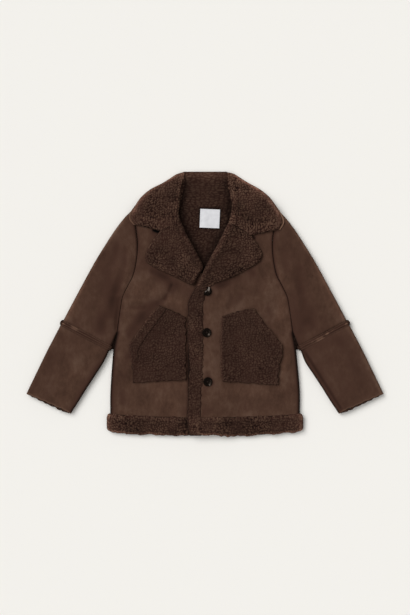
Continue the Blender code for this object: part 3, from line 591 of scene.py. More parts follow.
# Painted shade (negative shares) and painted light (positive shares).
# Each share of tone has its strokes: from x, y to x, y, and a half width.
PAINTED_LIGHT_AND_SHADE = {
    -0.8: ((-95, 137, -85, 133.5, 5), (84, 127.5, 91, 122, 5)),
    -0.25: ((-95, 131, -88, 130, 9),),
    -0.24: ((178, -78, 214, -134, 4), (217, -139, 250, -190, 4)),
    -0.2: ((6, -142, 6, -144, 14),),
    -0.19: ((-108, 76, -62, 36, 20),),
    -0.17: ((-62, 36, -74, 10, 4),),
    -0.16: ((5, -52, 5, -53, 13), (5, -126, 5, -134, 9)),
    -0.15: ((-112, -26, -138, -52, 16),),
    -0.13: ((-92, -4, -112, -26, 20), (166, 16, 168, -48, 12)),
    -0.12: ((84, 74, 92, 52, 16), (-92, 138, -84, 132, 14), (8, 22, 9, 21, 13),
            (24, 34, 40, 42, 12), (8, -190, 2, -200, 12), (-190, -28, -192, -44, 18),
            (-184, -100, -202, -128, 9)),
    -0.1: ((-62, 36, -30, 18, 13), (18, 34, 62, 48, 13), (116, -12, 112, -22, 14),
           (-40, -194, -42, -198, 12), (-196, -108, -230, -162, 10), (-298, -86, -322, -152, 20),
           (-96, 62, -68, 54, 12), (-96, 60, -66, 46, 11), (4, -126, 20, -150, 10),
           (2, -152, 2, -160, 8), (-3, -194, -3, -204, 7)),
    -0.09: ((-94, 0, -134, -52, 17), (22, 34, 46, 38, 7)),
    -0.08: ((-82, 54, -56, 40, 15), (-140, -60, -142, -96, 11), (40, 33, 30, 33, 14),
            (82, 56, 76, 46, 14), (60, 8, 52, 0, 15), (-190, -36, -186, -50, 14),
            (-160, 104, -158, 90, 12), (172, -16, 182, -52, 13), (204, -112, 236, -160, 9),
            (-168, 30, -168, -18, 13), (-120, -15, -144, -56, 13), (190, -30, 172, -56, 12),
            (-2, -156, -2, -200, 8), (10, -196, 28, -200, 9), (-90, 8, -122, -28, 13),
            (205, -62, 216, -60, 9), (-143, -96, -147, -112, 9), (-156, -164, -150, -180, 10),
            (-40, -194, -40, -202, 9)),
    -0.07: ((132, -54, 126, -52, 12), (80, -190, 118, -192, 12), (228, -66, 262, -72, 13),
            (266, -112, 276, -122, 14), (-182, 62, -176, 10, 22), (210, -70, 256, -60, 20),
            (-148, 12, -110, 14, 4), (-146, -8, -112, -5, 4), (-276, -56, -290, -84, 16),
            (-50, 38, -24, 28, 9), (-145, -84, -145, -96, 9), (28, 34, 34, 32, 9),
            (-104, 12, -132, -42, 13), (-310, -140, -318, -160, 9), (306, -130, 316, -156, 9),
            (-155, -160, -152, -184, 10), (-140, -92, -146, -106, 9), (-160, 46, -166, 14, 10),
            (190, -26, 196, -42, 11), (82, 140, 88, 132, 9)),
    -0.06: ((-280, -84, -292, -100, 12), (192, -96, 214, -128, 18), (-176, 20, -186, -38, 12),
            (-145, 84, -146, 74, 9), (-154, 40, -156, 30, 8), (-80, 54, -74, 50, 8),
            (-95, 0, -120, -15, 13), (84, 62, 88, 58, 9), (64, 18, 66, 12, 10),
            (118, -10, 122, -20, 10), (126, -50, 132, -54, 9), (-290, -76, -288, -108, 11),
            (-168, -104, -168, -196, 8), (-170, 40, -170, -40, 14), (172, 26, 186, 8, 13),
            (62, -8, 70, 18, 10), (-170, 6, -166, -36, 10), (-146, 112, -146, 66, 8),
            (84, 64, 90, 58, 9), (52, -2, 68, 16, 8), (178, 30, 182, -6, 13),
            (118, -6, 122, -42, 9), (114, 118, 120, 112, 10)),
    -0.05: ((-184, 60, -184, 20, 16), (190, -20, 194, -36, 18), (-236, -64, -200, -74, 14),
            (-164, 118, -176, 40, 13), (164, 40, 176, -50, 12), (194, -84, 198, -96, 11),
            (242, -64, 290, -140, 14), (-282, -150, -288, -160, 12), (-280, -64, -240, -56, 14),
            (248, -66, 262, -76, 12), (-192, -10, -192, -52, 13), (180, -76, 250, -82, 14),
            (-280, -66, -242, -60, 13), (-240, -84, -248, -112, 11),
            (-296, -140, -270, -128, 12)),
    0.04: ((236, -122, 252, -134, 20),),
    0.05: ((62, -158, 122, -154, 13), (66, 0, 56, -12, 16), (170, 116, 206, 52, 15),
           (262, -176, 290, -166, 16), (-122, 32, -98, 34, 12), (-100, -146, -32, -146, 12),
           (-110, -174, -62, -186, 15), (68, -162, 134, -166, 12), (-106, 34, -112, 30, 9),
           (-112, 38, -122, 32, 11), (-78, -10, -82, -20, 10), (126, 14, 132, 12, 8),
           (42, -18, 50, -22, 9), (-46, -164, -62, -168, 11), (-230, -14, -238, -20, 9),
           (-222, 30, -228, 22, 9)),
    0.06: ((-120, 22, -116, 14, 12), (34, -164, 78, -160, 16), (118, 96, 106, 28, 24),
           (-214, 36, -222, 22, 18), (-66, 8, -24, -24, 16), (58, 64, 64, 60, 10),
           (100, 92, 101, 86, 9), (146, -106, 150, -126, 10), (28, 12, 34, 6, 9),
           (45, -16, 45, -28, 12), (228, 4, 242, -44, 13), (214, 46, 218, 34, 12),
           (-222, 32, -230, 18, 12), (-236, -2, -246, -22, 12), (-204, -10, -208, -20, 10),
           (-210, -80, -212, -92, 10), (-244, -130, -262, -164, 13), (150, -170, 158, -182, 11),
           (136, -18, 134, -44, 8), (150, 150, 186, 106, 10), (200, 90, 236, 20, 12),
           (214, -14, 222, -8, 10), (-238, -136, -252, -168, 10), (-128, -184, -66, -192, 12),
           (-128, 32, -132, 16, 9), (-46, 4, -26, 8, 9), (112, -54, 114, -60, 8),
           (208, 34, 236, -8, 14)),
    0.07: ((-44, 8, -44, -18, 17), (-146, 2, -146, -8, 10), (-64, -166, -62, -196, 15),
           (138, 30, 140, -30, 11), (-242, -108, -246, -150, 15), (-148, 6, -128, 2, 12),
           (-154, -190, -146, -204, 12), (34, 14, 26, 2, 14), (-137, 50, -135, 42, 9),
           (-146, 2, -146, -26, 8), (140, 54, 140, 44, 9), (-198, -84, -206, -88, 9),
           (-122, 14, -134, 12, 11), (-150, -56, -158, -62, 10), (-110, -143, -34, -144, 7)),
    0.08: ((-104, -154, -40, -152, 12), (-206, 66, -196, 84, 9), (-246, 2, -262, -28, 11),
           (238, 14, 252, -22, 15), (-276, -176, -262, -182, 13), (-76, -152, -62, -202, 26),
           (136, 60, 148, 34, 9), (144, -118, 140, -136, 9)),
    0.09: ((-100, 100, -104, 90, 14), (150, -84, 154, -118, 10), (150, 52, 152, 34, 9),
           (-116, 44, -104, 26, 28), (146, 16, 140, -18, 13), (-232, -4, -246, -20, 18),
           (212, 50, 246, -34, 26)),
    0.1: ((196, 130, 180, 150, 10), (-128, 128, -127, 76, 8), (138, 104, 138, 44, 13),
          (-226, -124, -262, -184, 19), (234, -42, 246, -38, 8)),
    0.11: ((146, -104, 144, -150, 13), (-202, -84, -226, -124, 20)),
    0.12: ((-68, 22, -60, 2, 5), (184, -100, 210, -140, 4), (214, -146, 244, -192, 4)),
    0.14: ((-140, 64, -148, 30, 9),),
}
LIGHT_AND_SHADE_STROKES = [(*stroke, share) for share, strokes in PAINTED_LIGHT_AND_SHADE.items() for stroke in strokes]
print(len(FOLDS) + len(CREASES), "folds on the fronts,", len(LIGHT_AND_SHADE_STROKES), "brushed strokes")

# %% [markdown]
# ## The back
# The back lies on the table, nap down and pile up.  Only the pile inside
# the neck is seen from the front, so it is a piece of its own there, and
# the rest is the suede shell with its sides rounded up to the side seams.

# %% Outline tables
Knot = namedtuple("Knot", "y left_edge right_edge side")
PANEL = (Knot(-206, -8, 15, 174), Knot(-160, -7, 15, 173), Knot(-100, -5.4, 15, 170),
         Knot(-76, -5.3, 15, 167.5), Knot(-52, -5.2, 15, 162), Knot(-28, -5, 15, 158.5),
         Knot(-5, -4.8, 15, 155), Knot(15, -4.6, 15, 151), Knot(34, -3, 13, 142),
         Knot(54, 9, -2, 132), Knot(75, 19.7, -23.1, 127), Knot(95, 30.4, -33, 124.5),
         Knot(115, 41, -44.3, 124), Knot(134, 51.4, -54.6, 126), Knot(149, 60.8, -61.1, 128),
         Knot(163, 64.4, -65, 130), Knot(177, 65.4, -65.6, 130))
UNDERARM, UNDER_NAP = -52.0, 0.9
SIDE_ROUND, SEAM_ROUND = 5.4, 1.6
NECK_MID, NECK_HALF, NECK_SIDE, SHOULDER_X, SHOULDER_Y = 178.5, 48.5, 191.0, 131.0, 178.0
BAND_WIDE, GAP = 181.2, 0.3
SIDE_X = np.array([knot.side for knot in PANEL])
WAIST = (-206, -160, -100, -76, -50)
LEAN = np.interp([knot.y for knot in PANEL], WAIST, (0, 0.2, -0.4, -0.4, 0))
SLIM = np.interp([knot.y for knot in PANEL], WAIST, (-0.4, -1.2, 0.4, 0.8, 0))


def hem_seam(x):
    """Return the y of the seam above the hem band: a shallow parabola."""
    return -209.0 + 6.0 * (np.abs(x) / 174.0) ** 2


def hem_edge(x):
    """Return the y of the free edge: a parabola, waved a little and rounded off at the sides."""
    reach = np.abs(x) / BAND_WIDE
    return -241.8 + 4.8 * reach ** 2 + 5.0 * reach ** 14 + 1.3 * np.cos(x / 20.0)


def top_edge(x):
    """Return the y of the neck seam, and past it the straight shoulder seams."""
    reach = np.abs(x)
    neck = NECK_MID - 0.5 + (NECK_SIDE - NECK_MID) * (reach / NECK_HALF) ** 2
    fall = (NECK_SIDE - SHOULDER_Y) / (SHOULDER_X - NECK_HALF)
    shoulder = NECK_SIDE - 0.9 - fall * (reach - NECK_HALF)
    return np.where(reach < NECK_HALF, np.minimum(neck, NECK_SIDE - 0.9), shoulder)


def panel_grid(near_x, far_x, cell):
    """Span a panel between two lists of x, and bend its ends to the seams."""
    table = [(near, knot.y, far, knot.y) for near, far, knot in zip(near_x, far_x, PANEL)]
    grid = rail_grid(table, cell)
    bottom, top = PANEL[0].y, PANEL[-1].y
    x, y = grid.plan[..., 0], grid.plan[..., 1].copy()
    low = 1.0 - ease((y - bottom) / 60.0)
    high = ease((y - top + 30.0) / 30.0)
    grid.plan[..., 1] = y + low * (hem_seam(x) + GAP - bottom) + high * (top_edge(x) - top)
    return grid


def darker(distance, reach, share):
    """Return a painted shade factor that falls by a share at an edge, as a bell curve; a negative
    share paints light.
    """
    return 1.0 - share * bell(distance, reach)


def suede_values(top, nap, worn=0.0):
    """Give both faces of a suede sheet their numbers: nap with painted shade, and wear."""
    full = np.ones(top.shape[:2])
    return {"nap": (full * nap, full * UNDER_NAP), "worn": (full * worn, full * 0.0)}


print("neck seam", top_edge(np.array([0.0])), "hem", hem_edge(np.array([0.0, 170.0])).round(1))

# %% Back shell and the pile inside the neck
PILE_DEEP, PILE_CELL, NECK_SHADE = 1.7, 1.15, 0.78
# The roll lines of the left and the right side: y, and the x there.
ROLL_LEFT = ((31, 68, 105, 151, 190), (-19, 0, 20, 46, 48.5))
ROLL_RIGHT = ((34, 68, 106, 153, 190), (-21, -3, -20.4, -44.2, -45.4))


def make_back():
    """Make the back's suede shell below its pile: flat on top, folds beneath."""
    grid = panel_grid(LEAN - (SIDE_X + 0.7 - SLIM), LEAN + (SIDE_X + 0.7 - SLIM), 3.6)
    turn = np.where(grid.plan[..., 1] < UNDERARM, SIDE_ROUND, SEAM_ROUND)
    low = rounding(grid, turn, turn, 0.0, 0.0)
    under = 0.8 * low - waves(grid.plan, 46.0, 0.9, 31)
    over = np.full(low.shape, WALL - PILE_DEEP)
    top, bottom = lift(grid.plan, over), lift(grid.plan, np.minimum(under, over - 0.6))
    # Painted shade towards both sides, where the back meets the fronts' edges.
    shut_in_shade = darker(np.minimum(grid.near, grid.far), 9.0, 0.94)
    return close_sheet("back_suede", top, bottom, suede_values(top, 0.95 * shut_in_shade))


def teased(surface, depth, seed_shift, lump, combed=1.0, climb=1.0):
    """Push a surface out and in along its normal by the curls' height.

    The push is depth * (curl - 0.8) plus a 10 mm cloud of clumps.  Combed
    pile is drawn out sideways, by one over the number given; a low climb
    keeps the curls' size as seen from above where the sheet slopes.
    """
    even = 0.0 * np.asarray(combed)
    curl = curls((surface + seed_shift) * np.dstack([combed, 1.0 + even, climb + even]))
    clump = cloud(surface[..., 0] + seed_shift, surface[..., 1], 10.0, 21) - 0.6
    push = np.asarray(depth) * (curl - 0.8) + lump * clump
    return surface + facing(surface) * push[..., None], curl


def pile_sheet(name, over, under, depth, shade, lump, low_depth=0.0, cells=None,
               open_up=1.0, combed=1.0, climb=1.0):
    """Tease a piece's upper face, and its lower one where that is seen, and close it.

    Open curls spread the pile number round 0.6, and 20 mm patches vary the shade.
    """
    top, curl = teased(over, depth, 0.0, lump, combed, climb)
    curl = 0.6 + (curl - 0.6) * open_up
    shade = shade * (1.0 + 0.24 * open_up ** 2 * (cloud(over[..., 0], over[..., 1], 20.0, 23)
                                                  - 0.5))
    low, low_curl = under, 0.5 + 0.0 * curl
    if low_depth:
        low, low_curl = teased(under, low_depth, 11.0, 0.0)
    full = np.ones(curl.shape)
    values = {"pile": (curl, low_curl), "shade": (full * shade, 0.85 * full)}
    return close_sheet(name, top, low, values, cells)


def make_neck_pile():
    """Make the neck's pile in painted shade, darker at the rolls, the top and the label."""
    table = [(-66.0, y, 66.0, y) for y in (40.0, 90.0, 150.0, 176.0)]
    grid = rail_grid(table, PILE_CELL)
    rise = ease((grid.plan[..., 1] - 140.0) / 36.0)
    grid.plan[..., 1] += rise * (top_edge(grid.plan[..., 0]) + 2.8 - 176.0)
    x, y = grid.plan[..., 0], grid.plan[..., 1]
    inside = np.minimum(np.interp(y, *ROLL_LEFT) - x, x - np.interp(y, *ROLL_RIGHT))
    shut_in_shade = np.where(x > 0.0, 0.5, 0.42)
    shade = NECK_SHADE * darker(np.maximum(inside, 0.0), 12.0, shut_in_shade)
    shade = shade * darker(y - 176.0, 5.0, 0.1)
    low, high = node_box["neck_label"][:, :2]
    beyond = np.max(np.abs(grid.plan - 0.5 * (low + high)) - 0.5 * (high - low), axis=-1)
    shade = shade * darker(np.maximum(beyond, 0.0), 2.6, 0.4)
    return pile_sheet("back_neck_pile", lift(grid.plan, WALL),
                      lift(grid.plan, WALL - PILE_DEEP + 0.02), PILE_DEEP, shade, 0.4,
                      combed=0.6)


fit(make_back(), "suede", "back")
fit(make_neck_pile(), "pile")

# %% [markdown]
# ## The two fronts
# Each front is one panel from the hem seam to the shoulder.  The left one
# buttons over the right one, so it climbs by a wall's thickness between
# its side and its edge; an ease curve keeps that step as soft as in cloth.

# %% Fronts
LAP_FLAT, LAP_DOWN = 17.0, 66.0
# The pile strip on the left front's edge: y, and the x of its free and its sewn edge.
BAND = ((-241.5, -27.0, -8.6), (-226.0, -31.0, -9.0), (-207.0, -33.5, -9.4),
        (-180.0, -32.0, -8.2), (-140.0, -31.5, -5.4), (-100.0, -31.0, -4.2),
        (-60.0, -33.0, -3.8), (-30.0, -32.0, -4.2), (0.0, -30.5, -3.6), (10.0, -28.0, -2.2),
        (20.0, -23.0, -0.4), (33.0, -16.0, 2.6))
BAND_Y, BAND_FREE = list(zip(*BAND))[:2]
# How deep each side's armhole seam is, and how much painted shade lies along it, at these y.
SEAM_Y = (-76, -40, -15, 20, 50, 85, 115, 145, 177)
SEAM_STRENGTH = {-1: (1.0, 0.8, 0.35, 0.2, 0.15, 0.5, 1.0, 1.0, 0.6),
                 1: (1.0, 0.7, 0.45, 0.8, 1.1, 0.9, 0.9, 1.0, 0.6)}


def left_level(plan):
    """Return the left front's underside: lapped at its edge, low from x = 66 on."""
    return FRONT + (LAPPED - FRONT) * ease((LAP_DOWN - plan[..., 0]) / (LAP_DOWN - LAP_FLAT))


def right_level(plan):
    """Return the right front's underside, flat on the back."""
    return FRONT + 0.0 * plan[..., 0]


def band_gap(y):
    """Return the share of painted shade in the line beside the front band: darkest by the pockets'
    foot.
    """
    return 0.3 + 0.64 * bell(y + 112.0, 32.0)


def make_front(name, side, level):
    """Make a front: level + wall + folds, less the rounding at side and armhole."""
    edge = np.array([knot.left_edge if side > 0 else knot.right_edge for knot in PANEL])
    grid = panel_grid(edge, LEAN + side * (SIDE_X - SLIM), 2.6)
    x, y = grid.plan[..., 0], grid.plan[..., 1]
    rise = folded(grid.plan, FOLDS)
    crease = folded(grid.plan, CREASES) + waves(grid.plan, 55.0, 0.7, 33)
    drop = rounding(grid, 0.0, np.where(y < UNDERARM, SIDE_ROUND, SEAM_ROUND), 1.0, 0.0)
    base = level(grid.plan)
    top = lift(grid.plan, base + WALL + rise + crease - drop)
    # Painted shade in the creases' troughs, and painted shade and light from the strokes.
    nap = 0.95 + 0.05 * ease((40.0 - y) / 60.0) + 0.1 * np.minimum(crease, 0.0)
    nap = nap + folded(grid.plan, LIGHT_AND_SHADE_STROKES)
    # Painted shade along the armhole seam, the side below the arm, and the front band's edge.
    below = ease((UNDERARM + 6.0 - y) / 8.0)
    strong = np.interp(y, SEAM_Y, SEAM_STRENGTH[side])
    nap = nap * darker(grid.far, 2.6 + 2.4 * below, 0.5 * strong)
    nap = nap * darker(grid.far, 3.2, 0.8 * below)
    if side < 0:
        nap = nap * darker(np.interp(y, BAND_Y, BAND_FREE) - x, 2.6, band_gap(y))
    return close_sheet(name, top, lift(grid.plan, base + 0.7 * rise), suede_values(top, nap))


fit(make_front("front_right_suede", -1, right_level), "suede", "front_right")
fit(make_front("front_left_suede", 1, left_level), "suede", "front_left")

# %% [markdown]
# ## Sleeves
# A sleeve is a flattened hollow tube.  Its wall is a grid that runs round
# both ways: along the outside, over the end, back along the inside and
# over the other end.  The rings near the armhole are bowed by the armhole
# seam's own curve, and that bow fades along the sleeve.

# %% Sleeve tables
Ring = namedtuple("Ring", "outer_x outer_y inner_x inner_y height")
UPPER = (Ring(131, 177, 162.5, -52, 12.3), Ring(147, 162, 163.8, -55, 12.3),
         Ring(165, 139, 165, -58, 12.8), Ring(182, 113, 166.3, -61, 13.6),
         Ring(200, 84, 167.6, -64, 14.4), Ring(217, 53.5, 168.8, -67, 14.8),
         Ring(234, 22, 170, -70, 14.8), Ring(249, -6, 171.3, -73, 14.6),
         Ring(261.3, -29.5, 172.6, -76, 14.2))
ELBOW_WIDTH = 9.4
LOWER = (Ring(278.6, -61.4, 188.8, -107.1, 14.8), Ring(291.2, -85.6, 202.8, -129.9, 15),
         Ring(303.9, -111.6, 217.8, -153.9, 14.8), Ring(316.9, -138.4, 233.3, -178.1, 14.2),
         Ring(329.2, -164.0, 248.2, -200.8, 13.6))
ARMHOLE = ((130, 177), (130, 163), (128, 149), (126, 134), (124, 115), (124.5, 95), (127, 75),
           (132, 54), (142, 34), (151, 15), (155, -5), (158.5, -28), (162, -52))
SLEEVE_FOLDS = ((-147, 98, -151, 72, 11, -1.3), (-153, 58, -164, 25, 12, -1.8),
                (-169, 8, -178, -20, 12, -1.5), (-163, 112, -169, 76, 12, -1.3),
                (-157, 8, -162, -44, 8, -1.6), (-139, 108, -141, 66, 8, 0.9),
                (-141, 66, -151, 32, 8, 0.9), (-190, -18, -197, -46, 15, -0.9),
                (-178, 128, -200, 74, 17, -0.9), (-222, 8, -236, -28, 12, -0.7),
                (142, 100, 150, 62, 12, -1.5), (174, 66, 179, 24, 13, -1.7),
                (182, 5, 185, -32, 12, -1.4), (196, -8, 201, -40, 12, -1.3),
                (163, 40, 172, -6, 8, 0.9), (156, 0, 163, -46, 7, -1.5),
                (176, 122, 192, 84, 15, -1.0), (226, 0, 240, -30, 12, -0.6),
                (-208, -100, -240, -150, 16, -1.2), (-266, -86, -288, -122, 14, -0.9),
                (-236, -76, -262, -66, 10, -0.7), (226, -100, 262, -150, 18, -1.0),
                (270, -90, 292, -128, 14, -0.9), (186, -92, 216, -140, 4.5, -1.3),
                (216, -140, 253, -196, 4.5, -1.2), (-186, -94, -214, -138, 5, -0.6))


def past_elbow(distance, reach, height):
    """Return a ring beyond the upper sleeve's end, wider by a reach at both edges."""
    last = UPPER[-1]
    across = unit(np.array((last.outer_x - last.inner_x, last.outer_y - last.inner_y)))
    down = distance * np.array((across[1], -across[0]))
    outer, inner = (np.array(end) + down for end in (last[:2], last[2:4]))
    return Ring(*(outer + reach * across), *(inner - reach * across), height)


def armhole_bow(share):
    """Return how far the armhole seam lies off a straight line, at shares of its length."""
    curve = through(ARMHOLE, np.linspace(0.0, len(ARMHOLE) - 1.0, 200))
    along = path_length(curve)
    along /= along[-1]
    return read_at(curve, along, share) - (curve[0] + share[:, None] * (curve[-1] - curve[0]))


print("first ring past the elbow:", [round(value, 1) for value in past_elbow(10.0, 0.0, 14.2)])

# %% Sleeve tubes
SLEEVE_ROUND, ROUND_STEPS, SLEEVE_CELL, SEAM_DIP = 5.6, 40, 3.2, 1.3


def ring_shares():
    """Return shares across a flat ring, close at both edges: half a cosine, eased."""
    even = np.linspace(0.0, 1.0, ROUND_STEPS)
    return 0.55 * even + 0.45 * (0.5 - 0.5 * np.cos(math.pi * even))


def tube_walls(rings, side, cell, bowed):
    """Return a sleeve's outer and inner loops, ring by ring.

    Top = height - corner - a soft shoulder 26 mm wide; bottom = corner.
    The inner loop keeps a wall's thickness inside the outer one.
    """
    fine = through(rings, np.linspace(0.0, len(rings) - 1.0, 20 * len(rings)))
    along = path_length(0.5 * (fine[:, :2] + fine[:, 2:4]))
    stops = np.linspace(0.0, along[-1], max(4, int(along[-1] / cell)))
    rows, share = read_at(fine, along, stops), ring_shares()
    start, end, height = rows[:, None, 0:2], rows[:, None, 2:4], rows[:, 4:5]
    width = np.linalg.norm(end - start, axis=2)
    fade = (1.0 - stops / along[-1]) ** 1.5 * bowed
    bow = fade[:, None, None] * armhole_bow(share)[None]
    flip = np.array((side, 1.0))
    plan = (start + share[None, :, None] * (end - start) + bow) * flip
    inset = (WALL + share[None] * (width - 2.0 * WALL)) / width
    inside = (start + inset[..., None] * (end - start) + bow) * flip
    distance = np.minimum(share, 1.0 - share)[None] * width
    drop = corner(distance, SLEEVE_ROUND)
    return plan, inside, height, distance, drop, stops


def half_turn(upper, lower):
    """Run round a ring: along its upper line, and back along its lower one."""
    return np.concatenate((upper, lower[:, -2:0:-1]), axis=1)


def close_wall(name, outer, inner, nap, worn):
    """Close a tube's wall; its inner face gets painted shade, and it isn't worn."""
    return close_ring(name, np.concatenate((outer, inner[::-1])),
                      {"nap": np.concatenate((nap, 0.7 + 0.0 * nap)),
                       "worn": np.concatenate((worn, 0.0 * worn))})


def all_round(count):
    """Return evenly spaced angles of a whole turn."""
    return np.linspace(0.0, 2.0 * math.pi, count, endpoint=False)


def cuff_wave(across):
    """Return how far the cuff's raw edge swings out, by the distance across the sleeve."""
    slow, quick = cloud(across, 0.0 * across, 19.0, 57), cloud(across, 0.0 * across, 6.5, 58)
    bow = 2.0 * bell(across - 54.0, 20.0) - 1.6 * ease((across - 70.0) / 12.0)
    return 3.2 * (slow - 0.5) + 1.8 * (quick - 0.5) + bow


def make_sleeve(name, rings, side, bowed, nap, worn_end=0.0):
    """Close a sleeve's wall: outer top and bottom, then inner ceiling and floor."""
    plan, inside, height, distance, drop, stops = tube_walls(rings, side, SLEEVE_CELL, bowed)
    if worn_end:
        last = plan[-1, -1] - plan[-1, 0]
        width = np.linalg.norm(last)
        swing = cuff_wave(np.linspace(0.0, 1.0, ROUND_STEPS) * width)
        near_end = ease(1.0 - (stops[-1] - stops) / 9.0)
        push = (near_end[:, None] * swing)[..., None] * np.array((side * last[1], -side * last[0]))
        plan, inside = plan + push / width, inside + push / width
    rise = folded(plan, FOLDS)
    crease = folded(plan, SLEEVE_FOLDS) + waves(plan, 38.0, 0.8, 41)
    settle = ease(distance / 12.0)
    shoulder = 0.9 * (1.0 - ease(distance / 26.0))
    strong = np.interp(plan[..., 1], SEAM_Y, SEAM_STRENGTH[side])
    seam = SEAM_DIP * bell(stops, 3.0)[:, None] * bowed * (0.3 + 0.7 * strong)
    top = height - drop + rise + crease * settle - shoulder - seam
    beneath = drop - 0.6 * waves(plan, 38.0, 1.0, 43) * settle
    gap = np.where(distance > 0.0, np.maximum(height / 2.0 - WALL, 0.2), 0.0)
    ceiling, floor = height / 2.0 + gap + 0.6 * rise, height / 2.0 - gap
    at_inner = np.arange(ROUND_STEPS) >= ROUND_STEPS / 2
    inner_side, outer_side = distance + 99.0 * ~at_inner, distance + 99.0 * at_inner
    # Painted shade in troughs and painted light on ridges, with the painted strokes.
    tone = nap + 0.08 * np.minimum(crease, 0.5) + folded(plan, LIGHT_AND_SHADE_STROKES)
    # Painted shade along the armhole seam and the inner edges.
    tone = tone * darker(stops[:, None], 3.0, 0.46 * bowed * strong)
    tone = tone * darker(inner_side, 9.0, 0.26) * darker(distance, 1.4, 0.2)
    tone = tone * darker(inner_side, 2.4, 0.8 * (1.0 - bowed))
    # Painted light along the outer rim.
    rim = (0.6 + 0.1 * side) * bowed + (0.28 + 0.17 * side) * (1.0 - bowed)
    tone = tone * darker(outer_side - 2.6, 3.8, -rim)
    tone = half_turn(tone, np.full_like(tone, 0.9))
    worn = bell(stops[-1] - stops, 1.6)[:, None] * worn_end + 0.0 * tone
    return close_wall(name, half_turn(lift(plan, top), lift(plan, beneath)),
                      half_turn(lift(inside, ceiling), lift(inside, floor)), tone, worn)


# The lower sleeves' tone, and how much further in each ring's inner edge lies than in LOWER.
LOWER_TONE = {-1: 0.97, 1: 0.88}
LOWER_WIDER = {-1: (1.6, 1.0, 0.2, 0.7, 0.9), 1: (3.4, 2.3, 1.6, 2.0, 1.5)}
first_ring = past_elbow(ELBOW_WIDTH + 2.0 * GAP, 0.6, 14.2)
for wearer_side, sign in SIDES:
    lower_rings = [first_ring, *(ring._replace(inner_x=ring.inner_x - more)
                                 for ring, more in zip(LOWER, LOWER_WIDER[sign]))]
    for part, rings, *look in (("upper", UPPER, 1.0, 0.9),
                               ("lower", lower_rings, 0.0, LOWER_TONE[sign], 0.4)):
        fit(make_sleeve(f"sleeve_{part}_{wearer_side}_suede", rings, sign, *look), "suede",
            f"sleeve_{part}_{wearer_side}")

# %% [markdown]
# ## The elbow seams and the cuffs
# The lower sleeve is joined on with a lapped seam: a raised strip between
# two rows of stitching, whose raw edges are paler.  Where it turns under
# the arm the pile of the seam allowance peeks out as a small tuft, and
# the cuff's raw edge shows a line of pile.

# %% Elbow seams
ELBOW_WORN = {-1: (-243, -42, -237, -45, 6, 0.3), 1: (208, -66, 216, -63, 6, 0.3)}


def make_elbow(name, side):
    """Make the raised strip: a flat hump across, with a groove along each stitch row."""
    ends = [past_elbow(GAP + share * ELBOW_WIDTH, reach, height)
            for share, reach, height in ((0.0, 0.3, 14.3), (0.5, 1.1, 14.6), (1.0, 0.8, 14.3))]
    plan, inside, height, distance, drop, stops = tube_walls(ends, side, 0.62, 0.0)
    across = (stops / stops[-1])[:, None]
    shift = 0.1 * cloud(distance, 0.0 * distance, 21.0, 52) - 0.05
    groove = bell(across - 0.24 - shift, 0.1) + bell(across - 0.76 + shift, 0.1)
    pucker = 0.3 * np.cos(distance * 2.0 * math.pi / 6.0) * (across - 0.5) ** 2 * 4.0
    hump = 0.7 * bell(across - 0.5, 0.2) + waves(plan, 13.0, 0.9, 51)
    top = height - drop + hump - 1.1 * groove + pucker * ease(distance / 8.0)
    gap = np.where(distance > 0.0, np.maximum(height / 2.0 - WALL, 0.2), 0.0)
    outer = half_turn(lift(plan, top), lift(plan, drop + 0.2 * groove))
    inner = half_turn(lift(inside, height / 2.0 + gap), lift(inside, height / 2.0 - gap))
    # The raw edges are paler; pale patches along the crest are a painted highlight.
    edges = bell(across - 0.02, 0.05) + bell(across - 0.98, 0.05)
    crest_highlight = ease(4.0 * cloud(plan[..., 0], plan[..., 1], 9.0, 53) - 2.4)
    full, upper = 0.0 * outer[..., 0], np.s_[:, :plan.shape[1]]
    worn = full + 0.1 * edges
    worn[upper] += folded(plan, (ELBOW_WORN[side],))
    worn[upper] += 0.5 * crest_highlight * bell(across - 0.5, 0.16)
    # Painted shade in the stitch grooves, stronger towards the outer end.
    tone = full + 0.86
    outer_part = ease((np.abs(plan[..., 0]) - 186.0) / 30.0)
    tone[upper] *= 1.0 - (0.2 + 0.3 * outer_part) * np.minimum(groove, 1.0)
    return close_wall(name, outer, inner, tone, worn)


def disc(columns, rows):
    """Bend a square grid onto a unit disc without a pole: x = u * sqrt(1 - v^2 / 2)."""
    u, v = np.meshgrid(np.linspace(-1.0, 1.0, columns), np.linspace(-1.0, 1.0, rows))
    return u * np.sqrt(1.0 - v * v / 2.0), v * np.sqrt(1.0 - u * u / 2.0)


def make_tuft(name, middle, along, across, half_long, half_wide, half_high, shade=0.8):
    """Make a small lens of teased pile: half_high * sqrt(1 - r^4) over and under it."""
    x, y = disc(20, 24)
    bulge = half_high * np.sqrt(np.maximum(1.0 - np.minimum(x * x + y * y, 1.0) ** 2, 0.0))
    plan = (np.array(middle[:2]) + (x * half_wide)[..., None] * np.array(across)
            + (y * half_long)[..., None] * np.array(along))
    return pile_sheet(name, lift(plan, middle[2] + bulge),
                      lift(plan, np.maximum(middle[2] - bulge, 0.2)), 1.5, shade, 0.5)


tuft_ring = past_elbow(0.5 * ELBOW_WIDTH, 0.4, 15.0)
for wearer_side, sign in SIDES:
    fit(make_elbow(f"elbow_seam_{wearer_side}", sign), "suede", f"elbow_trim_{wearer_side}")
    outer, inner = np.array(tuft_ring[:2]), np.array(tuft_ring[2:4])
    line = unit(outer - inner)
    for end_name, spot in (("outer", outer), ("inner", inner)):
        fit(make_tuft(f"elbow_tuft_{end_name}_{wearer_side}", (sign * spot[0], spot[1], 7.0),
                      (sign * line[1], -line[0]), (sign * line[0], line[1]), 5.4, 3.4, 6.6),
            "pile")

# %% [markdown]
# Between the sleeve and the side the turnings of four seams meet.  They
# fill the corner with crushed pile, painted almost black for the shade there.

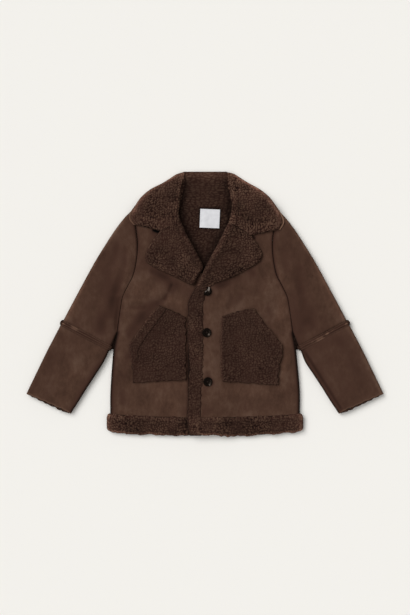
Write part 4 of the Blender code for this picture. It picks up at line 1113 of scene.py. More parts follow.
# %% Underarm
for wearer_side, sign in SIDES:
    low, high = np.array((sign * 161.0, -40.0)), np.array((sign * 169.5, -82.0))
    line = unit(high - low)
    # Painted shade: the pile's shade number is only 0.22.
    fit(make_tuft(f"underarm_pile_{wearer_side}", (*(0.5 * (low + high)), 4.6), line,
                  (line[1], -line[0]), 23.0, 6.6, 4.4, 0.22), "pile")

# %% Cuff edges
def make_cuff_pile(name, side):
    """Carry a lumpy round section along the cuff's edge, all round the opening.

    Its middle follows the wall's middle; its radius is 1 mm, and more on each curl.
    """
    last = LOWER[-1]
    start, end = np.array(last[:2]), np.array(last[2:4])
    across = unit(end - start)
    outward = np.array((-across[1], across[0]))
    width = np.linalg.norm(end - start) - 5.0
    half_high = last.height / 2.0 - 3.0
    turn = all_round(260)
    flat, tall = (np.sign(wave) * np.abs(wave) ** power
                  for wave, power in ((np.cos(turn), 0.55), (np.sin(turn), 0.35)))
    ring = (start + (2.5 + width / 2.0) * across)[None] + (flat * width / 2.0)[:, None] * across
    ring = ring + cuff_wave(2.5 + (1.0 + flat) * width / 2.0)[:, None] * outward
    height = last.height / 2.0 + tall * half_high
    around = all_round(14)
    out = np.cos(around)[None, :, None] * outward
    up = np.sin(around)[None, :] * np.sign(tall)[:, None]
    seed = np.dstack((turn[:, None] * 40.0 + 0.0 * up, around[None] * 3.0 + 0.0 * up, 0.0 * up))
    curl = curls(seed)
    lump = cloud(turn[:, None] * 40.0, 0.0 * turn[:, None], 2.6, 55) - 0.4
    radius = 1.0 + 0.9 * curl + 1.1 * lump
    plan = (ring[:, None] + out * radius[..., None] - outward * 0.3) * np.array((side, 1.0))
    points = np.dstack((plan, np.clip(height[:, None] + up * radius, 0.0, None)))
    return close_ring(name, points, {"pile": 0.35 + 0.6 * curl, "shade": 0.6 + 0.4 * curl})


for wearer_side, sign in SIDES:
    fit(make_cuff_pile(f"cuff_pile_{wearer_side}", sign), "pile")

# %% [markdown]
# ## The hem band
# A 38 mm strip of pile cloth is folded round the hem.  It is stuffed by
# its own turnings, so it stands fuller than the coat and its edge is
# lumpy.  The pile is on both faces, because the strip is seen from below
# as well.

# %% Hem bands
def hem_grid(left, right, swell, over_seam=1.0):
    """Span a stretch of the band from the seam to its lumpy free edge."""
    x = np.linspace(left, right, 25)
    grid = rail_grid(np.column_stack((x, hem_seam(x), x, hem_edge(x))), PILE_CELL)
    x, y, zero = grid.plan[..., 0], grid.plan[..., 1], 0.0 * grid.near
    lumps, fine = cloud(x, zero, 15.0, 61) - 0.35, cloud(x, zero, 6.0, 62) - 0.5
    push = (swell * lumps + 2.6 * fine) * ease(1.0 - grid.far / 22.0)
    fuzzy = (3.4 * cloud(x, zero, 4.6, 63) - 0.2) * over_seam
    y += fuzzy * ease(1.0 - grid.near / 9.0) - push
    inset = corner(grid.near, 7.0) + corner(grid.far, 6.0)
    if abs(right) == BAND_WIDE:
        x -= inset * ease(1.0 - grid.last / 24.0)
    if abs(left) == BAND_WIDE:
        x += inset * ease(1.0 - grid.first / 24.0)
    return grid


def make_band(name, grid, base, thick, soft, low_soft, lump, shade=1.0, open_up=1.55):
    """Close a padded strip of pile: thick less its rounded corners, teased on both faces."""
    over = lift(grid.plan, base + thick - rounding(grid, *soft))
    under = lift(grid.plan, base + rounding(grid, *low_soft) + 0.7)
    return pile_sheet(name, over, under, 1.9, shade, lump, 0.9, open_up=open_up)


def hem_shade(grid):
    """Return the band's painted light at its ends, seam and free edge, with painted shade lines.
    """
    end = 1.0 + 0.36 * ease((-140.0 - grid.plan[..., 0]) / 24.0)
    side = BAND_WIDE - np.abs(grid.plan[..., 0])
    end = end * darker(side - 2.5, 3.4, -0.95) * darker(side - 2.5, 13.0, -0.3)
    return (1.03 * end * darker(grid.near - 1.5, 4.4, -0.3) * darker(grid.near - 10.0, 3.0, 0.1)
            * darker(grid.far, 3.4, -2.3) * darker(grid.far - 6.0, 2.0, 0.25))


def make_hem_left():
    """Make the strip's left end, which lies on the left front's level."""
    grid = hem_grid(-11.2, BAND_WIDE, 3.0)
    return make_band("hem_left_pile", grid, left_level(grid.plan), WALL + 2.2,
                     (2.2, 6.0, 0.0, 7.0), (0.0, 2.4, 0.0, 0.0), 1.5, hem_shade(grid))


def make_hem_right():
    """Make the strip's right end, thinner where the front band covers it."""
    grid = hem_grid(-BAND_WIDE, 15.0, 3.0)
    x, y = grid.plan[..., 0], grid.plan[..., 1]
    # Painted shade along the front band's free edge, bending with it at the foot.
    bend = 5.0 * ease((-216.0 - y) / 26.0)
    return make_band("hem_right_pile", grid, right_level(grid.plan),
                     WALL + 2.2 * ease((-34.0 - x) / 10.0), (2.2, 6.0, 7.0, 0.5),
                     (0.0, 2.4, 0.0, 0.0), 1.5,
                     hem_shade(grid) * darker(x + 33.0 - bend, 3.6, 0.6))


def make_hem_back():
    """Make the strip's back half, flat beneath the two ends."""
    grid = hem_grid(-BAND_WIDE, BAND_WIDE, 2.0, 0.0)
    return make_band("hem_back_pile", grid, 0.0 * grid.near, WALL - 0.3,
                     (0.0, 0.8, 0.0, 0.0), (0.6, 4.8, 5.2, 5.2), 0.0)


for make, node in ((make_hem_back, "hem_band_back"), (make_hem_right, "hem_band_right"),
                   (make_hem_left, "hem_band_left")):
    fit(make(), "pile", node)

# %% [markdown]
# ## The front band
# A strip of the same pile cloth is sewn down the left front's edge and
# covers the seam.  Its free edge is a fold, so it is rounder there.  Each
# buttonhole ends in it, as a short slit of painted shade beside its button.

# %% Front band
BUTTONS = ((4.0, 24.4), (3.2, -51.8), (5.0, -142.0))


def make_front_band():
    """Span the strip between its free edge and its sewn edge, and tease it."""
    grid = rail_grid([(free, y, sewn - 0.4, y) for y, free, sewn in BAND], PILE_CELL)
    x, y, zero = grid.plan[..., 0], grid.plan[..., 1], 0.0 * grid.near
    x -= 1.8 * (cloud(zero, y, 13.0, 71) - 0.5) * ease(1.0 - grid.near / 10.0)
    x += (0.4 + 2.6 * cloud(zero, y, 4.4, 72)) * ease(1.0 - grid.far / 8.0)
    # Painted shade along the free edge and in the buttonhole slits; paler towards the foot.
    slits = [(x_at - 14.0, y_at, x_at - 6.0, y_at + 0.4, 2.0, -0.6) for x_at, y_at in BUTTONS]
    shade = darker(grid.near, 2.2, band_gap(y)) * (1.0 + 0.4 * ease((-182.0 - y) / 32.0))
    shade = shade * (1.0 + folded(grid.plan, slits))
    swollen = ease((y - 4.0) / 26.0)
    return make_band("front_band_pile", grid, LAPPED + zero, WALL + 1.9 + 3.6 * swollen,
                     (4.4, 2.6, 5.5, 0.0), (1.6, 0.0, 2.4, 0.0), 0.9, shade, 1.25)


fit(make_front_band(), "pile", "front_band")

# %% [markdown]
# ## Patch pockets
# A pocket is a patch of pile sewn on three sides.  Its slanted mouth is
# finished with a turned rim of the same pile, which lies beside it as a
# fuller strip.

# %% Pockets
POCKET_RIGHT = ((-71.4, -6.8, -36, -22), (-86, -27.6, -35.5, -36), (-98.8, -44.6, -35, -51),
                (-111.8, -62.6, -35, -67), (-124.6, -82.4, -35, -85), (-124, -97, -34.5, -98),
                (-133.6, -110, -34.5, -112), (-131, -123, -34.5, -127),
                (-131, -144, -35, -139))
POCKET_LEFT = ((71.9, -9.6, 31, -22), (89.1, -35.6, 29, -36), (104.1, -54.6, 28.5, -52),
               (118.9, -73.6, 28, -70), (126, -86.8, 28, -86), (127, -99.5, 28.5, -100),
               (136.6, -112, 28.5, -115), (133.2, -127, 29.5, -131), (132.6, -148, 32, -142))
RIM_RIGHT = ((-84, -1.5, -71.6, -6), (-100, -18, -86.5, -27), (-113, -36, -99.3, -44),
             (-127, -54, -112.3, -62), (-141, -75, -125.2, -82), (-138.4, -96, -124.4, -97.4),
             (-135, -108, -132.8, -109))
RIM_LEFT = ((90, -8, 73, -9), (105, -28, 89.9, -35), (120, -47, 104.9, -54),
            (136, -66, 119.7, -73), (143.5, -82, 126.8, -86.2), (141.4, -98, 127.4, -99.6),
            (138.2, -110, 136.2, -111))
REST = PATCH - FRONT - WALL
POCKET_THICK, RIM_THICK = TRIM + 0.4, RIM + 0.5
POCKET_SOFT, RIM_SOFT = (1.6, 3.0, 3.0, 3.0), (3.0, 1.6, 3.0, 0.0)


def proud(table, near_in, far_out):
    """Move each row's near end in and its far end out, along the row."""
    rows = np.array(table, float)
    line = rows[:, 2:] - rows[:, :2]
    length = np.linalg.norm(line, axis=1, keepdims=True)
    line = line / length
    rows[:, :2] += line * np.minimum(near_in, 0.45 * length)
    rows[:, 2:] += line * far_out
    return rows


def hem_line(distance):
    """Return the shallow groove of the turned edge, 10 mm in from a free edge."""
    return 0.8 * bell(distance - 10.0, 1.6)


def frayed(grid, reach, amount):
    """Shift a grid's points near its edges by a 5 mm cloud, so that no edge is straight."""
    push = amount * ease(1.0 - nearest_edge(grid) / reach)
    x, y = grid.plan[..., 0].copy(), grid.plan[..., 1].copy()
    for axis, seed in ((0, 91), (1, 92)):
        grid.plan[..., axis] += 2.0 * push * (cloud(x, y, 5.0, seed) - 0.5)


def make_patch(name, table, level, thick, soft):
    """Close a patch on a front: level + wall + thick, less its rounded corners."""
    grid = rail_grid(table, PILE_CELL, 4.0, straight)
    frayed(grid, 6.0, 1.3)
    base = level(grid.plan) + WALL + REST
    over = base + POCKET_THICK + (thick - POCKET_THICK) * ease(grid.last / 16.0)
    over -= rounding(grid, *soft) + 0.5 * hem_line(nearest_edge(grid))
    seamed, free = (grid.far, grid.near) if thick > POCKET_THICK else (grid.near, grid.far)
    # Painted light along the free side and the foot, painted shade where pocket and rim meet.
    shade = darker(np.minimum(free, grid.last), 1.8, -0.7) * darker(seamed, 2.6, 0.1)
    return pile_sheet(name, lift(grid.plan, over), lift(grid.plan, base), 1.6, shade, 0.8,
                      open_up=0.85)


for wearer_side, pocket_table, rim_table, level in (
        ("right", POCKET_RIGHT, RIM_RIGHT, right_level),
        ("left", POCKET_LEFT, RIM_LEFT, left_level)):
    fit(make_patch(f"pocket_{wearer_side}_pile", proud(pocket_table, -1.8, 0.0), level,
                   POCKET_THICK, POCKET_SOFT), "pile", f"pocket_{wearer_side}")
    fit(make_patch(f"pocket_rim_{wearer_side}_pile", proud(rim_table, 0.0, 2.4), level,
                   RIM_THICK, RIM_SOFT), "pile", f"pocket_rim_{wearer_side}")

# %% [markdown]
# ## Lapels
# The bonded cloth rolls back on itself: the pile comes up over the front's
# edge, makes a round crest and lies out on the chest, with the suede face
# beneath.  So a lapel is two sheets, a thick one of pile and a thin one of
# suede whose raw edge shows as a line round it.

# %% Lapels
LAPEL_LEFT = ((-18.5, 28.4, 6, 32), (-13.6, 38, 20, 39), (-7.6, 51, 50, 50), (0, 68, 74, 63),
              (10, 87, 98, 77), (20, 105, 105, 92), (31, 127, 98.5, 108), (43, 151, 86, 126))
LAPEL_RIGHT = ((-21, 34.6, -25, 36.2), (-17, 42, -38, 42), (-10.5, 54, -60, 53),
               (-3, 68, -85, 64), (-10, 86, -107, 78), (-20.4, 106, -109, 93),
               (-33, 128, -101, 112), (-44.2, 153.5, -83, 134.5))
FACE, CREST, ROLL_IN = 1.7, 5.0, 9.5
# Strokes of painted light and shade on the lapels.
LAPEL_STROKES = ((-10, 34, 14, 36, 10, 0.35), (-101, 104, -96, 94, 13, 0.25),
                 (56, 66, 66, 62, 10, 0.15), (84, 142, 88, 134, 12, -0.15),
                 (30, 60, 80, 100, 18, -0.06))


def crest(near, height):
    """Return the roll's bump: a bell 13 mm wide whose top is 8 mm in."""
    return height * bell(near - 8.0, 13.0)


def over_roll(near):
    """Return a roll's short pile depth, and painted light on it with a painted shade line beyond.
    """
    away = ease((near - 3.0) / 8.0)
    return 2.0 * (0.3 + 0.7 * away), (1.28 - 0.28 * away) * darker(near - 12.5, 1.8, 0.2)


def parted(rest, hooked):
    """Return where pile and suede meet: hooked down to the wall it rolls over, or flat."""
    return rest + FACE - hooked * (WALL + REST + FACE - 0.1)


def make_lapel(name, table, level, tucked_below):
    """Make a lapel's pile and its suede face from one table of rows.

    Pile top = level + wall + crest, less its roundings.  Its underside is
    hooked down over the front's edge within 9.5 mm of the roll line.
    """
    grid = rail_grid(table, PILE_CELL)
    base = level(grid.plan)
    rest = base + WALL + REST
    hooked = ease((ROLL_IN + 2.0 - grid.near) / 2.0)
    hooked = hooked * ease((grid.plan[..., 1] - tucked_below) / 8.0)
    full = 1.0 if tucked_below > 0.0 else ease(0.12 + grid.first / 26.0)
    over = rest + WALL + full * crest(grid.near, CREST) - corner(grid.near, 7.0)
    over -= 0.7 * (1.0 - full) * (WALL + REST) + 0.5 * hem_line(grid.far)
    over -= np.maximum(corner(grid.far, 3.4), full * corner(grid.first, 3.4))
    middle = parted(rest, hooked)
    depth, shade = over_roll(grid.near)
    # Painted shade in the line 10 mm in, painted light on the free edge, and the strokes.
    shade = shade * darker(grid.far - 10.0, 1.6, 0.07) * darker(grid.far, 2.6, -0.4)
    shade = shade * (1.0 + folded(grid.plan, LAPEL_STROKES))
    pile_part = pile_sheet(f"{name}_pile", lift(grid.plan, np.maximum(over, middle + 1.2)),
                           lift(grid.plan, middle), depth, shade, 1.0, open_up=1.55)
    wide = rail_grid(proud(table, 12.0, 0.9), 2.6)
    base = level(wide.plan) + WALL + REST
    upper = lift(wide.plan, base + FACE - 0.06)
    # Painted shade: the suede face is darker, as the line beneath the lapel's edge.
    face = close_sheet(f"{name}_suede", upper, lift(wide.plan, base),
                       suede_values(upper, 0.68))
    return pile_part, face


lapel_right, lapel_right_face = make_lapel("lapel_right", LAPEL_RIGHT, right_level, 68.0)
lapel_left, lapel_left_face = make_lapel("lapel_left", LAPEL_LEFT, left_level, -99.0)
fit(lapel_right, "pile", "lapel_right")
fit(lapel_left, "pile", "lapel_left")
fit(lapel_right_face, "suede")
fit(lapel_left_face, "suede")

# %% [markdown]
# ## The collar
# The collar is cut in one: two leaves that turn out over the shoulders and
# the stand between them at the back of the neck.  One grid holds all three
# parts, and the cells of the stand below the neck seam are left out.

# %% Collar tables and plan
COLLAR_LEFT = ((43.6, 152.2, 138, 138), (47.4, 166, 145, 152), (49.2, 179, 139.6, 167.4),
               (49, 190.8, 130, 181.8), (49, 191.6, 129.6, 182.8), (47, 204, 118, 198.8),
               (43.5, 216, 100.8, 213), (41, 229, 76.8, 226.5), (38.5, 245.2, 53.6, 241.6))
COLLAR_RIGHT = ((-44.8, 154.8, -131, 147), (-47.8, 168, -139, 158), (-47, 180, -136.5, 170),
                (-45.4, 190.8, -129, 181), (-45.3, 191.6, -128.6, 182),
                (-42.4, 204, -117.4, 198.4), (-39.6, 216, -100.6, 212.8), (-38, 229, -76, 225.7),
                (-38, 245.2, -53, 240.8))
NOTCH_LEFT, NOTCH_RIGHT = (86.5, 127.2), (-82.5, 135.6)
PAST_NECK, TIP_SHARE = 4.0, (0.5, 1.0, 0.8, 0.2)
PILE_OVER, COLLAR_SHADE = 4.6, 1.1
LEAF_HEIGHT = (18.8, 18.8, 18.6, 18.4, 18.4, 17.4, 15.8, 13.8, 9.0)
LEAF_CREST = (5.0, 5.0, 5.0, 4.8, 4.8, 4.2, 3.2, 2.0, 0.4)
LEAF_DROOP = (0.0, 0.0, 0.0, 0.0, 0.1, 0.6, 1.0, 1.0, 1.0)
# Strokes of painted light and shade on the collar.
COLLAR_STROKES = ((46, 242, 92, 214, 13, 0.9), (92, 212, 122, 188, 10, 0.3),
                  (122, 190, 138, 172, 10, 0.7), (-66, 234, -44, 242, 10, 0.6),
                  (-44, 226, -46, 206, 10, 0.25), (-140, 176, -130, 170, 10, 0.5),
                  (-80, 170, -56, 162, 18, -0.17), (78, 190, 76, 150, 13, -0.1),
                  (104, 196, 120, 160, 16, 0.1), (-58, 190, -64, 184, 13, -0.08),
                  (54, 226, 62, 212, 9, 0.5))

# Strokes that raise or lower the painted light on the left leaf's rim.
LEFT_RIM = ((123, 198, 131, 184, 17, -0.75), (137, 170, 134, 162, 10, 0.4))


def row_stops(table, cell):
    """Return row numbers spaced by about a cell, with one exactly past the neck."""
    at = np.linspace(0.0, len(table) - 1.0, 400)
    rails = through(table, at)
    along = path_length(0.35 * rails[:, :2] + 0.65 * rails[:, 2:])
    split = np.interp(PAST_NECK, at, along)
    low = edge_steps(split * 2.0, 3.0, cell)[0]
    low = low[low < split - 0.4 * cell]
    high = along[-1] - edge_steps((along[-1] - split) * 2.0, 3.0, cell)[0]
    high = np.sort(high[(high > split + 0.4 * cell)])
    return np.interp(np.concatenate((low, (split,), high)), along, at)


def leaf_plan(table, notch, stops, cell):
    """Span one leaf, and pull its first rows to the notch where the lapel meets it."""
    plan, steps, width = fill_rows(through(table, stops), 3.0, cell)
    first = np.array(table[0], float)
    middle = first[:2] + 0.45 * (first[2:] - first[:2])
    share = steps / width
    tent = np.minimum(share / 0.45, (1.0 - share) / 0.55)
    fade = ease(1.0 - stops / 1.2)[:, None]
    return plan + (tent * fade)[..., None] * (np.array(notch) - middle), steps, width - steps


print(len(row_stops(COLLAR_LEFT, PILE_CELL)), "rows in the collar")

# %% Collar heights and sheets
def leaf_over(plan, near, far, stops, level):
    """Return a leaf's top: its level and crest, settling to the table past the shoulder."""
    rows = np.arange(len(LEAF_HEIGHT))
    stops = stops[:, None]
    flat = WALL + 1.0
    past = ease((stops - PAST_NECK + 0.2) / 0.4)
    settle = 1.0 - np.interp(stops, rows, LEAF_DROOP) * (1.0 - ease(far / 34.0))
    over = flat + (np.interp(stops, rows, LEAF_HEIGHT) - flat) * settle
    over += crest(near, 1.0) * np.interp(stops, rows, LEAF_CREST) - corner(far, 3.4)
    nose = (over[:, :1] - WALL - 0.4) * (1.0 - ease(near / 5.0))
    nose = nose * (1.0 - 0.8 * ease((plan[..., 1] - 220.0) / 14.0))
    over -= past * nose + (1.0 - past) * corner(near, 7.0)
    return over + (1.0 - past) * (level(plan) - FRONT), past


def collar_leaf(plan, near, far, stops, level, is_left):
    """Return one leaf's plan, top, middle, underside, pile depth, shade and openness."""
    over, past = leaf_over(plan, near, far, stops, level)
    seamed = ease((0.47 - near / (near + far)) / 0.05)
    plan[..., 1] -= 1.3 * seamed * ease(1.0 - stops / 0.4)[:, None]
    first = np.cumsum(np.pad(np.linalg.norm(np.diff(plan, axis=0), axis=2),
                             ((1, 0), (0, 0))), axis=0)
    over -= np.where(seamed > 0.5, 0.3 * corner(first, 1.8), corner(first, 3.4))
    over -= hem_line(far) * (1.0 - 0.7 * past) + 1.3 * hem_line(first - 13.0) * (1.0 - past)
    lies = level(plan) + WALL + REST
    middle = parted(lies, ease((ROLL_IN + 2.0 - near) / 2.0))
    middle = (1.0 - past) * middle + past * np.maximum(over - PILE_OVER, 1.6)
    under = (1.0 - past) * np.minimum(lies, middle - 1.0)
    depth, shade = over_roll(near)
    # Painted light along the free rim, stronger towards the top.
    rim = 0.4 + 1.2 * ease((plan[..., 1] - 162.0) / 18.0)
    if is_left:
        rim = rim + 1.6 * folded(plan, LEFT_RIM)
    shade = shade * darker(far - 1.0, 5.8, -rim) * darker(far, 13.0, -0.18 * rim)
    shade = shade * (1.08 if is_left else 1.0)
    # Painted shade in the groove 23 mm in from the leaf's lower edge.
    shade = shade * darker(first - 23.0, 2.2, 0.2 * (1.0 - past))
    shade = shade * (1.0 + folded(plan, COLLAR_STROKES))
    return plan, over, middle, under, depth, shade, 1.8 * (0.4 + 0.6 * ease(far / 18.0))


def collar_stand(start, end, share, stops):
    """Return the same seven parts for the stand, which dips to the neck seam's curve."""
    stand = start + (end - start) * share[None, :, None]
    dip = (NECK_SIDE - NECK_MID) * (1.0 - (2.0 * share - 1.0) ** 2)
    fade = np.interp(stops, (PAST_NECK, len(LEAF_HEIGHT) - 1), (1.0, 0.0))
    stand[..., 1] -= fade[:, None] * dip[None]
    zero = 0.0 * stand[..., 0]
    from_roll = np.minimum(share, 1.0 - share)[None] * 95.0 + zero
    last = (stops[-1] - stops)[:, None] * 12.0
    # Painted shade beside both rolls, fading near the top; painted light along the top edge.
    top_fade = ease((238.0 - stand[..., 1]) / 18.0)
    shade = 0.8 * darker(from_roll, 12.0, 0.55 * top_fade) * darker(last - 2.0, 7.0, -0.8)
    return (stand, WALL + 0.4 - 1.4 * ease(1.0 - last / 7.0) + zero, 1.6 + zero, zero,
            1.1 + zero, shade, 1.0 + zero)


def collar_surfaces(cell, stand_cells, tip_out, far_out):
    """Return the whole collar's seven parts, its cells and its rows' stops.

    The middle parts pile from suede.  Past the neck seam the suede fills
    the space down to the table.
    """
    stops = row_stops(COLLAR_LEFT, cell)
    leaves = []
    for table, notch, level in ((COLLAR_RIGHT, NOTCH_RIGHT, right_level),
                                (COLLAR_LEFT, NOTCH_LEFT, left_level)):
        reach = np.full((len(table), 1), far_out)
        reach[:4, 0] = np.array(TIP_SHARE) * tip_out + far_out
        leaf = leaf_plan(proud(table, 0.0, reach), notch, stops, cell)
        leaves.append(collar_leaf(*leaf, stops, level, notch is NOTCH_LEFT))
    right, left = leaves
    share = np.linspace(0.0, 1.0, stand_cells)[1:-1]
    stand = collar_stand(right[0][:, :1], left[0][:, :1], share, stops)
    parts = [np.concatenate((at_right[:, ::-1], at_stand, at_left), axis=1)
             for at_right, at_stand, at_left in zip(right, stand, left)]
    cells = np.ones((len(stops) - 1, parts[0].shape[1] - 1), bool)
    leaf = right[0].shape[1]
    open_at = np.zeros(cells.shape[1], bool)
    open_at[leaf - 1:leaf + len(share)] = True
    cells[stops[:-1] < PAST_NECK - 0.01] &= ~open_at
    return parts, cells, stops


def make_collar():
    """Make the collar's pile over its suede face; the suede starts 12 mm off the roll."""
    pile_parts, cells, _ = collar_surfaces(PILE_CELL, 84, -3.4, 0.0)
    plan, over, middle, _, depth, shade, open_up = pile_parts
    shade = COLLAR_SHADE * shade
    column = np.arange(plan.shape[1])
    combed = np.where(np.abs(column - 0.5 * plan.shape[1]) < 42.0, 0.5, 1.0)
    pile_part = pile_sheet("collar_pile", lift(plan, np.maximum(over, middle + 1.2)),
                           lift(plan, middle), depth, shade, 1.1, 0.0, cells, open_up,
                           combed + 0.0 * shade, 0.1)
    (plan, over, middle, under, _, _, _), cells, stops = collar_surfaces(2.6, 32, 0.0, 0.8)
    inner = np.abs(plan[0, :-1, 0]) < 60.0
    cells[stops[:-1] < PAST_NECK - 0.01] &= ~inner
    upper = lift(plan, middle - 0.05)
    column = np.arange(plan.shape[1])
    ends = np.minimum(column, column[::-1])
    strong = np.where(column < 0.5 * plan.shape[1], 0.4, 0.75)
    worn = strong * np.exp(-(ends / 3.6) ** 4) * (1.0 - 0.6 * ease(stops - 2.0))[:, None]
    face = close_sheet("collar_suede", upper, lift(plan, under),
                       suede_values(upper, 0.9, worn), cells)
    return pile_part, face


collar, collar_face = make_collar()
fit(collar, "pile", "collar")
fit(collar_face, "suede")

# %% [markdown]
# ## Buttons
# Each button is a dished disc with four holes, sewn with a cross of thread.

# %% Buttons
BUTTON_RADIUS, HOLE_OUT, HOLE_RADIUS = 8.4, 2.0, 0.85
# Painted glints: the first button's crescent and small spots on the others.
PAINTED_GLINTS = ((7.5, 31.8, 7.0, 27.2, 1.9, 1.0), (6.4, 26.4, 1.2, 24.0, 2.2, 1.0),
          (6.8, -54.6, 7.4, -55.6, 1.6, 0.35), (8.8, -147.8, 8.9, -148.6, 1.6, 0.4))


def make_button(number, middle, bottom, thick, deep):
    """Dish a disc: a rim with rounded corners round a hollow with four holes.

    The first button tips up towards the lapel, so its hollow's wall lies off its middle.
    """
    x, y = disc(85, 85)
    out = BUTTON_RADIUS * np.hypot(x, y)
    if number == 1:
        off = np.hypot(x * BUTTON_RADIUS + 1.0, y * BUTTON_RADIUS - 2.2)
        dish = deep * (1.0 - ease((off - 3.8) / 3.2)) * ease((BUTTON_RADIUS - out) / 1.5)
    else:
        dish = deep * (1.0 - np.clip(out / (BUTTON_RADIUS - 1.3), 0.0, 1.0) ** 2)
    holes = sum(np.exp(-(np.hypot(x * BUTTON_RADIUS - across * HOLE_OUT,
                                  y * BUTTON_RADIUS - up * HOLE_OUT) / HOLE_RADIUS) ** 6)
                for across in (-1, 1) for up in (-1, 1))
    over = bottom + thick - dish - 0.9 * holes - corner(BUTTON_RADIUS - out, 1.3)
    under = bottom + corner(BUTTON_RADIUS - out, 1.4)
    plan = np.dstack((x, y)) * BUTTON_RADIUS + np.array(middle)
    # Painted glints, mixed pale into the horn's colour.
    fleck = np.clip(1.4 * folded(plan, PAINTED_GLINTS), 0.0, 1.0)
    return close_sheet(f"button_{number}_horn", lift(plan, over), lift(plan, under),
                       {"fleck": (fleck, 0.0 * fleck)})


def make_cross(number, middle, height):
    """Sew a button on: two thick stitches that cross, each a bowed flat bar."""
    t = np.linspace(-1.0, 1.0, 25)
    around = all_round(10)
    bars = []
    for turn in (1.0, -1.0):
        line = np.array((1.0, turn)) / math.sqrt(2.0)
        side = np.array((-line[1], line[0]))
        taper = 0.75 * np.sqrt(np.clip(1.0 - np.abs(t) ** 8, 0.0004, 1.0))
        spine = np.array(middle) + (t * HOLE_OUT * 1.414)[:, None] * line
        plan = (spine[:, None] + (taper[:, None] * np.cos(around))[..., None] * side)
        bow = height + (0.35 if turn > 0 else 0.75) - 0.8 * t ** 4
        bars.append(np.dstack((plan, bow[:, None] + 0.5 * taper[:, None] * np.sin(around))))
    return [close_tube(f"button_{number}_thread_{index}", bar)
            for index, bar in enumerate(bars, start=1)]


def close_tube(name, rows):
    """Close a solid bar: its grid runs round, and its ends shrink to a fan of quads."""
    count = rows.shape[1]
    number = np.arange(rows.shape[0] * count).reshape(rows.shape[:2])
    after = np.roll(number, -1, axis=1)
    sides = np.stack((number[:-1], after[:-1], after[1:], number[1:]), axis=-1).reshape(-1, 4)
    half = np.arange(count // 2 - 1)
    caps = []
    for ring, turned in ((number[0], False), (number[-1], True)):
        quad = np.stack((ring[half], ring[half + 1], ring[count - 2 - half],
                         ring[count - 1 - half]), axis=1)
        caps.append(quad if turned else quad[:, ::-1])
    return write_mesh(name, rows.reshape(-1, 3), np.concatenate((sides, *caps)), {})


for number, middle in enumerate(BUTTONS, start=1):
    low, high = node_box[f"button_{number}"][:, 2]
    deep = 0.85 if number == 1 else 1.4
    fit(make_button(number, middle, low, high - low, deep), "horn", f"button_{number}")
    for bar in make_cross(number, middle, high - 1.3):
        fit(bar, "thread")

# %% [markdown]
# ## The label
# The neck label is a folded ribbon, stitched at its corners and left blank.

# %% Label
LABEL_SIDE, LABEL_TURN = 36.5, math.radians(-2.5)


def make_label():
    """Make a turned square that waves a little and thickens at its folded ends."""
    across, up = np.meshgrid(np.linspace(-0.5, 0.5, 60), np.linspace(-0.5, 0.5, 60))
    low, high = node_box["neck_label"]
    middle = 0.5 * (low + high)[:2]
    spin = np.array(((math.cos(LABEL_TURN), math.sin(LABEL_TURN)),
                     (-math.sin(LABEL_TURN), math.cos(LABEL_TURN))))
    plan = middle + np.dstack((across, 0.953 * up - 0.023)) * LABEL_SIDE @ spin
    edge = LABEL_SIDE * (0.5 - np.maximum(np.abs(across), np.abs(up)))
    hem = 0.25 * ease(1.0 - np.abs(0.5 - np.abs(up)) * LABEL_SIDE / 4.0)
    over = high[2] + 0.5 * cloud(plan[..., 0], plan[..., 1], 14.0, 81) + hem
    over -= 0.5 * corner(edge, 0.5)
    return close_sheet("neck_label_satin", lift(plan, over), lift(plan, over - 0.7))


fit(make_label(), "satin", "neck_label")

# %% [markdown]
# ## Floor, light and camera
# The jacket lies on a pale sheet.  Two wide suns stand for a large window
# past the wearer's right shoulder and for the ceiling: they are the same
# all over, so the floor stays even, and their shadows are short.  A small
# weak one gives the buttons their glint.  A pale world fills the rest.  The standard view
# transform shows the hex colours as they were noted.

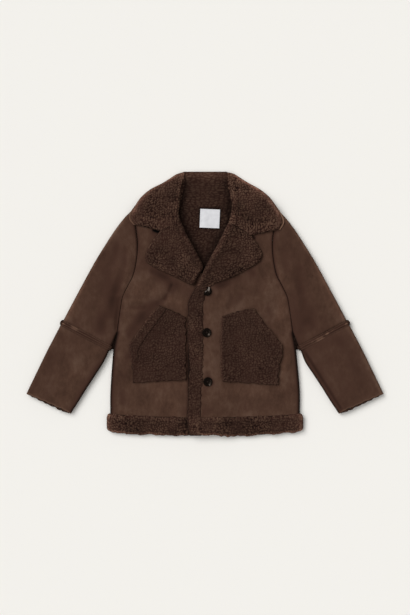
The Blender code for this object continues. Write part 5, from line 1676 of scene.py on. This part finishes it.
# %% Floor, light and camera
FLOOR_HALF = 3.0
Sun = namedtuple("Sun", "name width energy height around")
SUNS = (Sun("soft_sun", 38.0, 1.85, 52.0, 140.0), Sun("ceiling_light", 85.0, 0.64, 90.0, 0.0),
        Sun("small_lamp", 26.0, 0.34, 50.0, 200.0))


def make_floor():
    """Lay a wide plain floor just under the jacket."""
    corners = [(-1, -1), (1, -1), (1, 1), (-1, 1)]
    sheet = bpy.data.meshes.new("floor")
    sheet.from_pydata([(x * FLOOR_HALF, y * FLOOR_HALF, -0.0004) for x, y in corners], [],
                      [(0, 1, 2, 3)])
    paper, *_ = new_finish("matt_paper", Roughness=0.95, IOR=1.45,
                           Base_Color=linear("#f2f0eb"), Specular_IOR_Level=0.0)
    sheet.materials.append(paper)
    new_object("floor", sheet)


def make_sun(sun):
    """Add a sun; its tilt is 90 degrees less its height, and it is turned as it is seen."""
    data = bpy.data.lights.new(sun.name, "SUN")
    data.angle = math.radians(sun.width)
    data.energy = sun.energy
    light = new_object(sun.name, data)
    light.rotation_euler = (math.radians(90.0 - sun.height), 0.0, math.radians(90.0 + sun.around))


make_floor()
for sun in SUNS:
    make_sun(sun)
world = bpy.data.worlds.new("pale_studio")
world.use_nodes = True
fill = world.node_tree.nodes["Background"]
fill.inputs["Color"].default_value = (1.0, 0.995, 0.985, 1.0)
fill.inputs["Strength"].default_value = 0.26
bpy.context.scene.world = world
bpy.context.scene.view_settings.view_transform = "Standard"

VIEW_HIGH, VIEW_AWAY, VIEW_MIDDLE = 1.13775, 3.0, -0.0056
camera_data = bpy.data.cameras.new("camera")
camera_data.sensor_width = 36.0
camera_data.lens = 36.0 * VIEW_AWAY / VIEW_HIGH
camera = new_object("camera", camera_data)
camera.location = (0.0, VIEW_MIDDLE, VIEW_AWAY)
bpy.context.scene.camera = camera
print("camera lens", round(camera_data.lens, 1), "mm")

# %% [markdown]
# ## The cut of every cloth piece
# The jacket is sewn from sheets.  Each line gives the width and length of
# the rectangle that the piece is cut from, in millimetres, the area that
# it takes of it, in square centimetres, and what it lies on.  A tube's
# width is measured all round.

# %% Cut sizes
Sheet = namedtuple("Sheet", "name width length area below beside", defaults=("", ""))
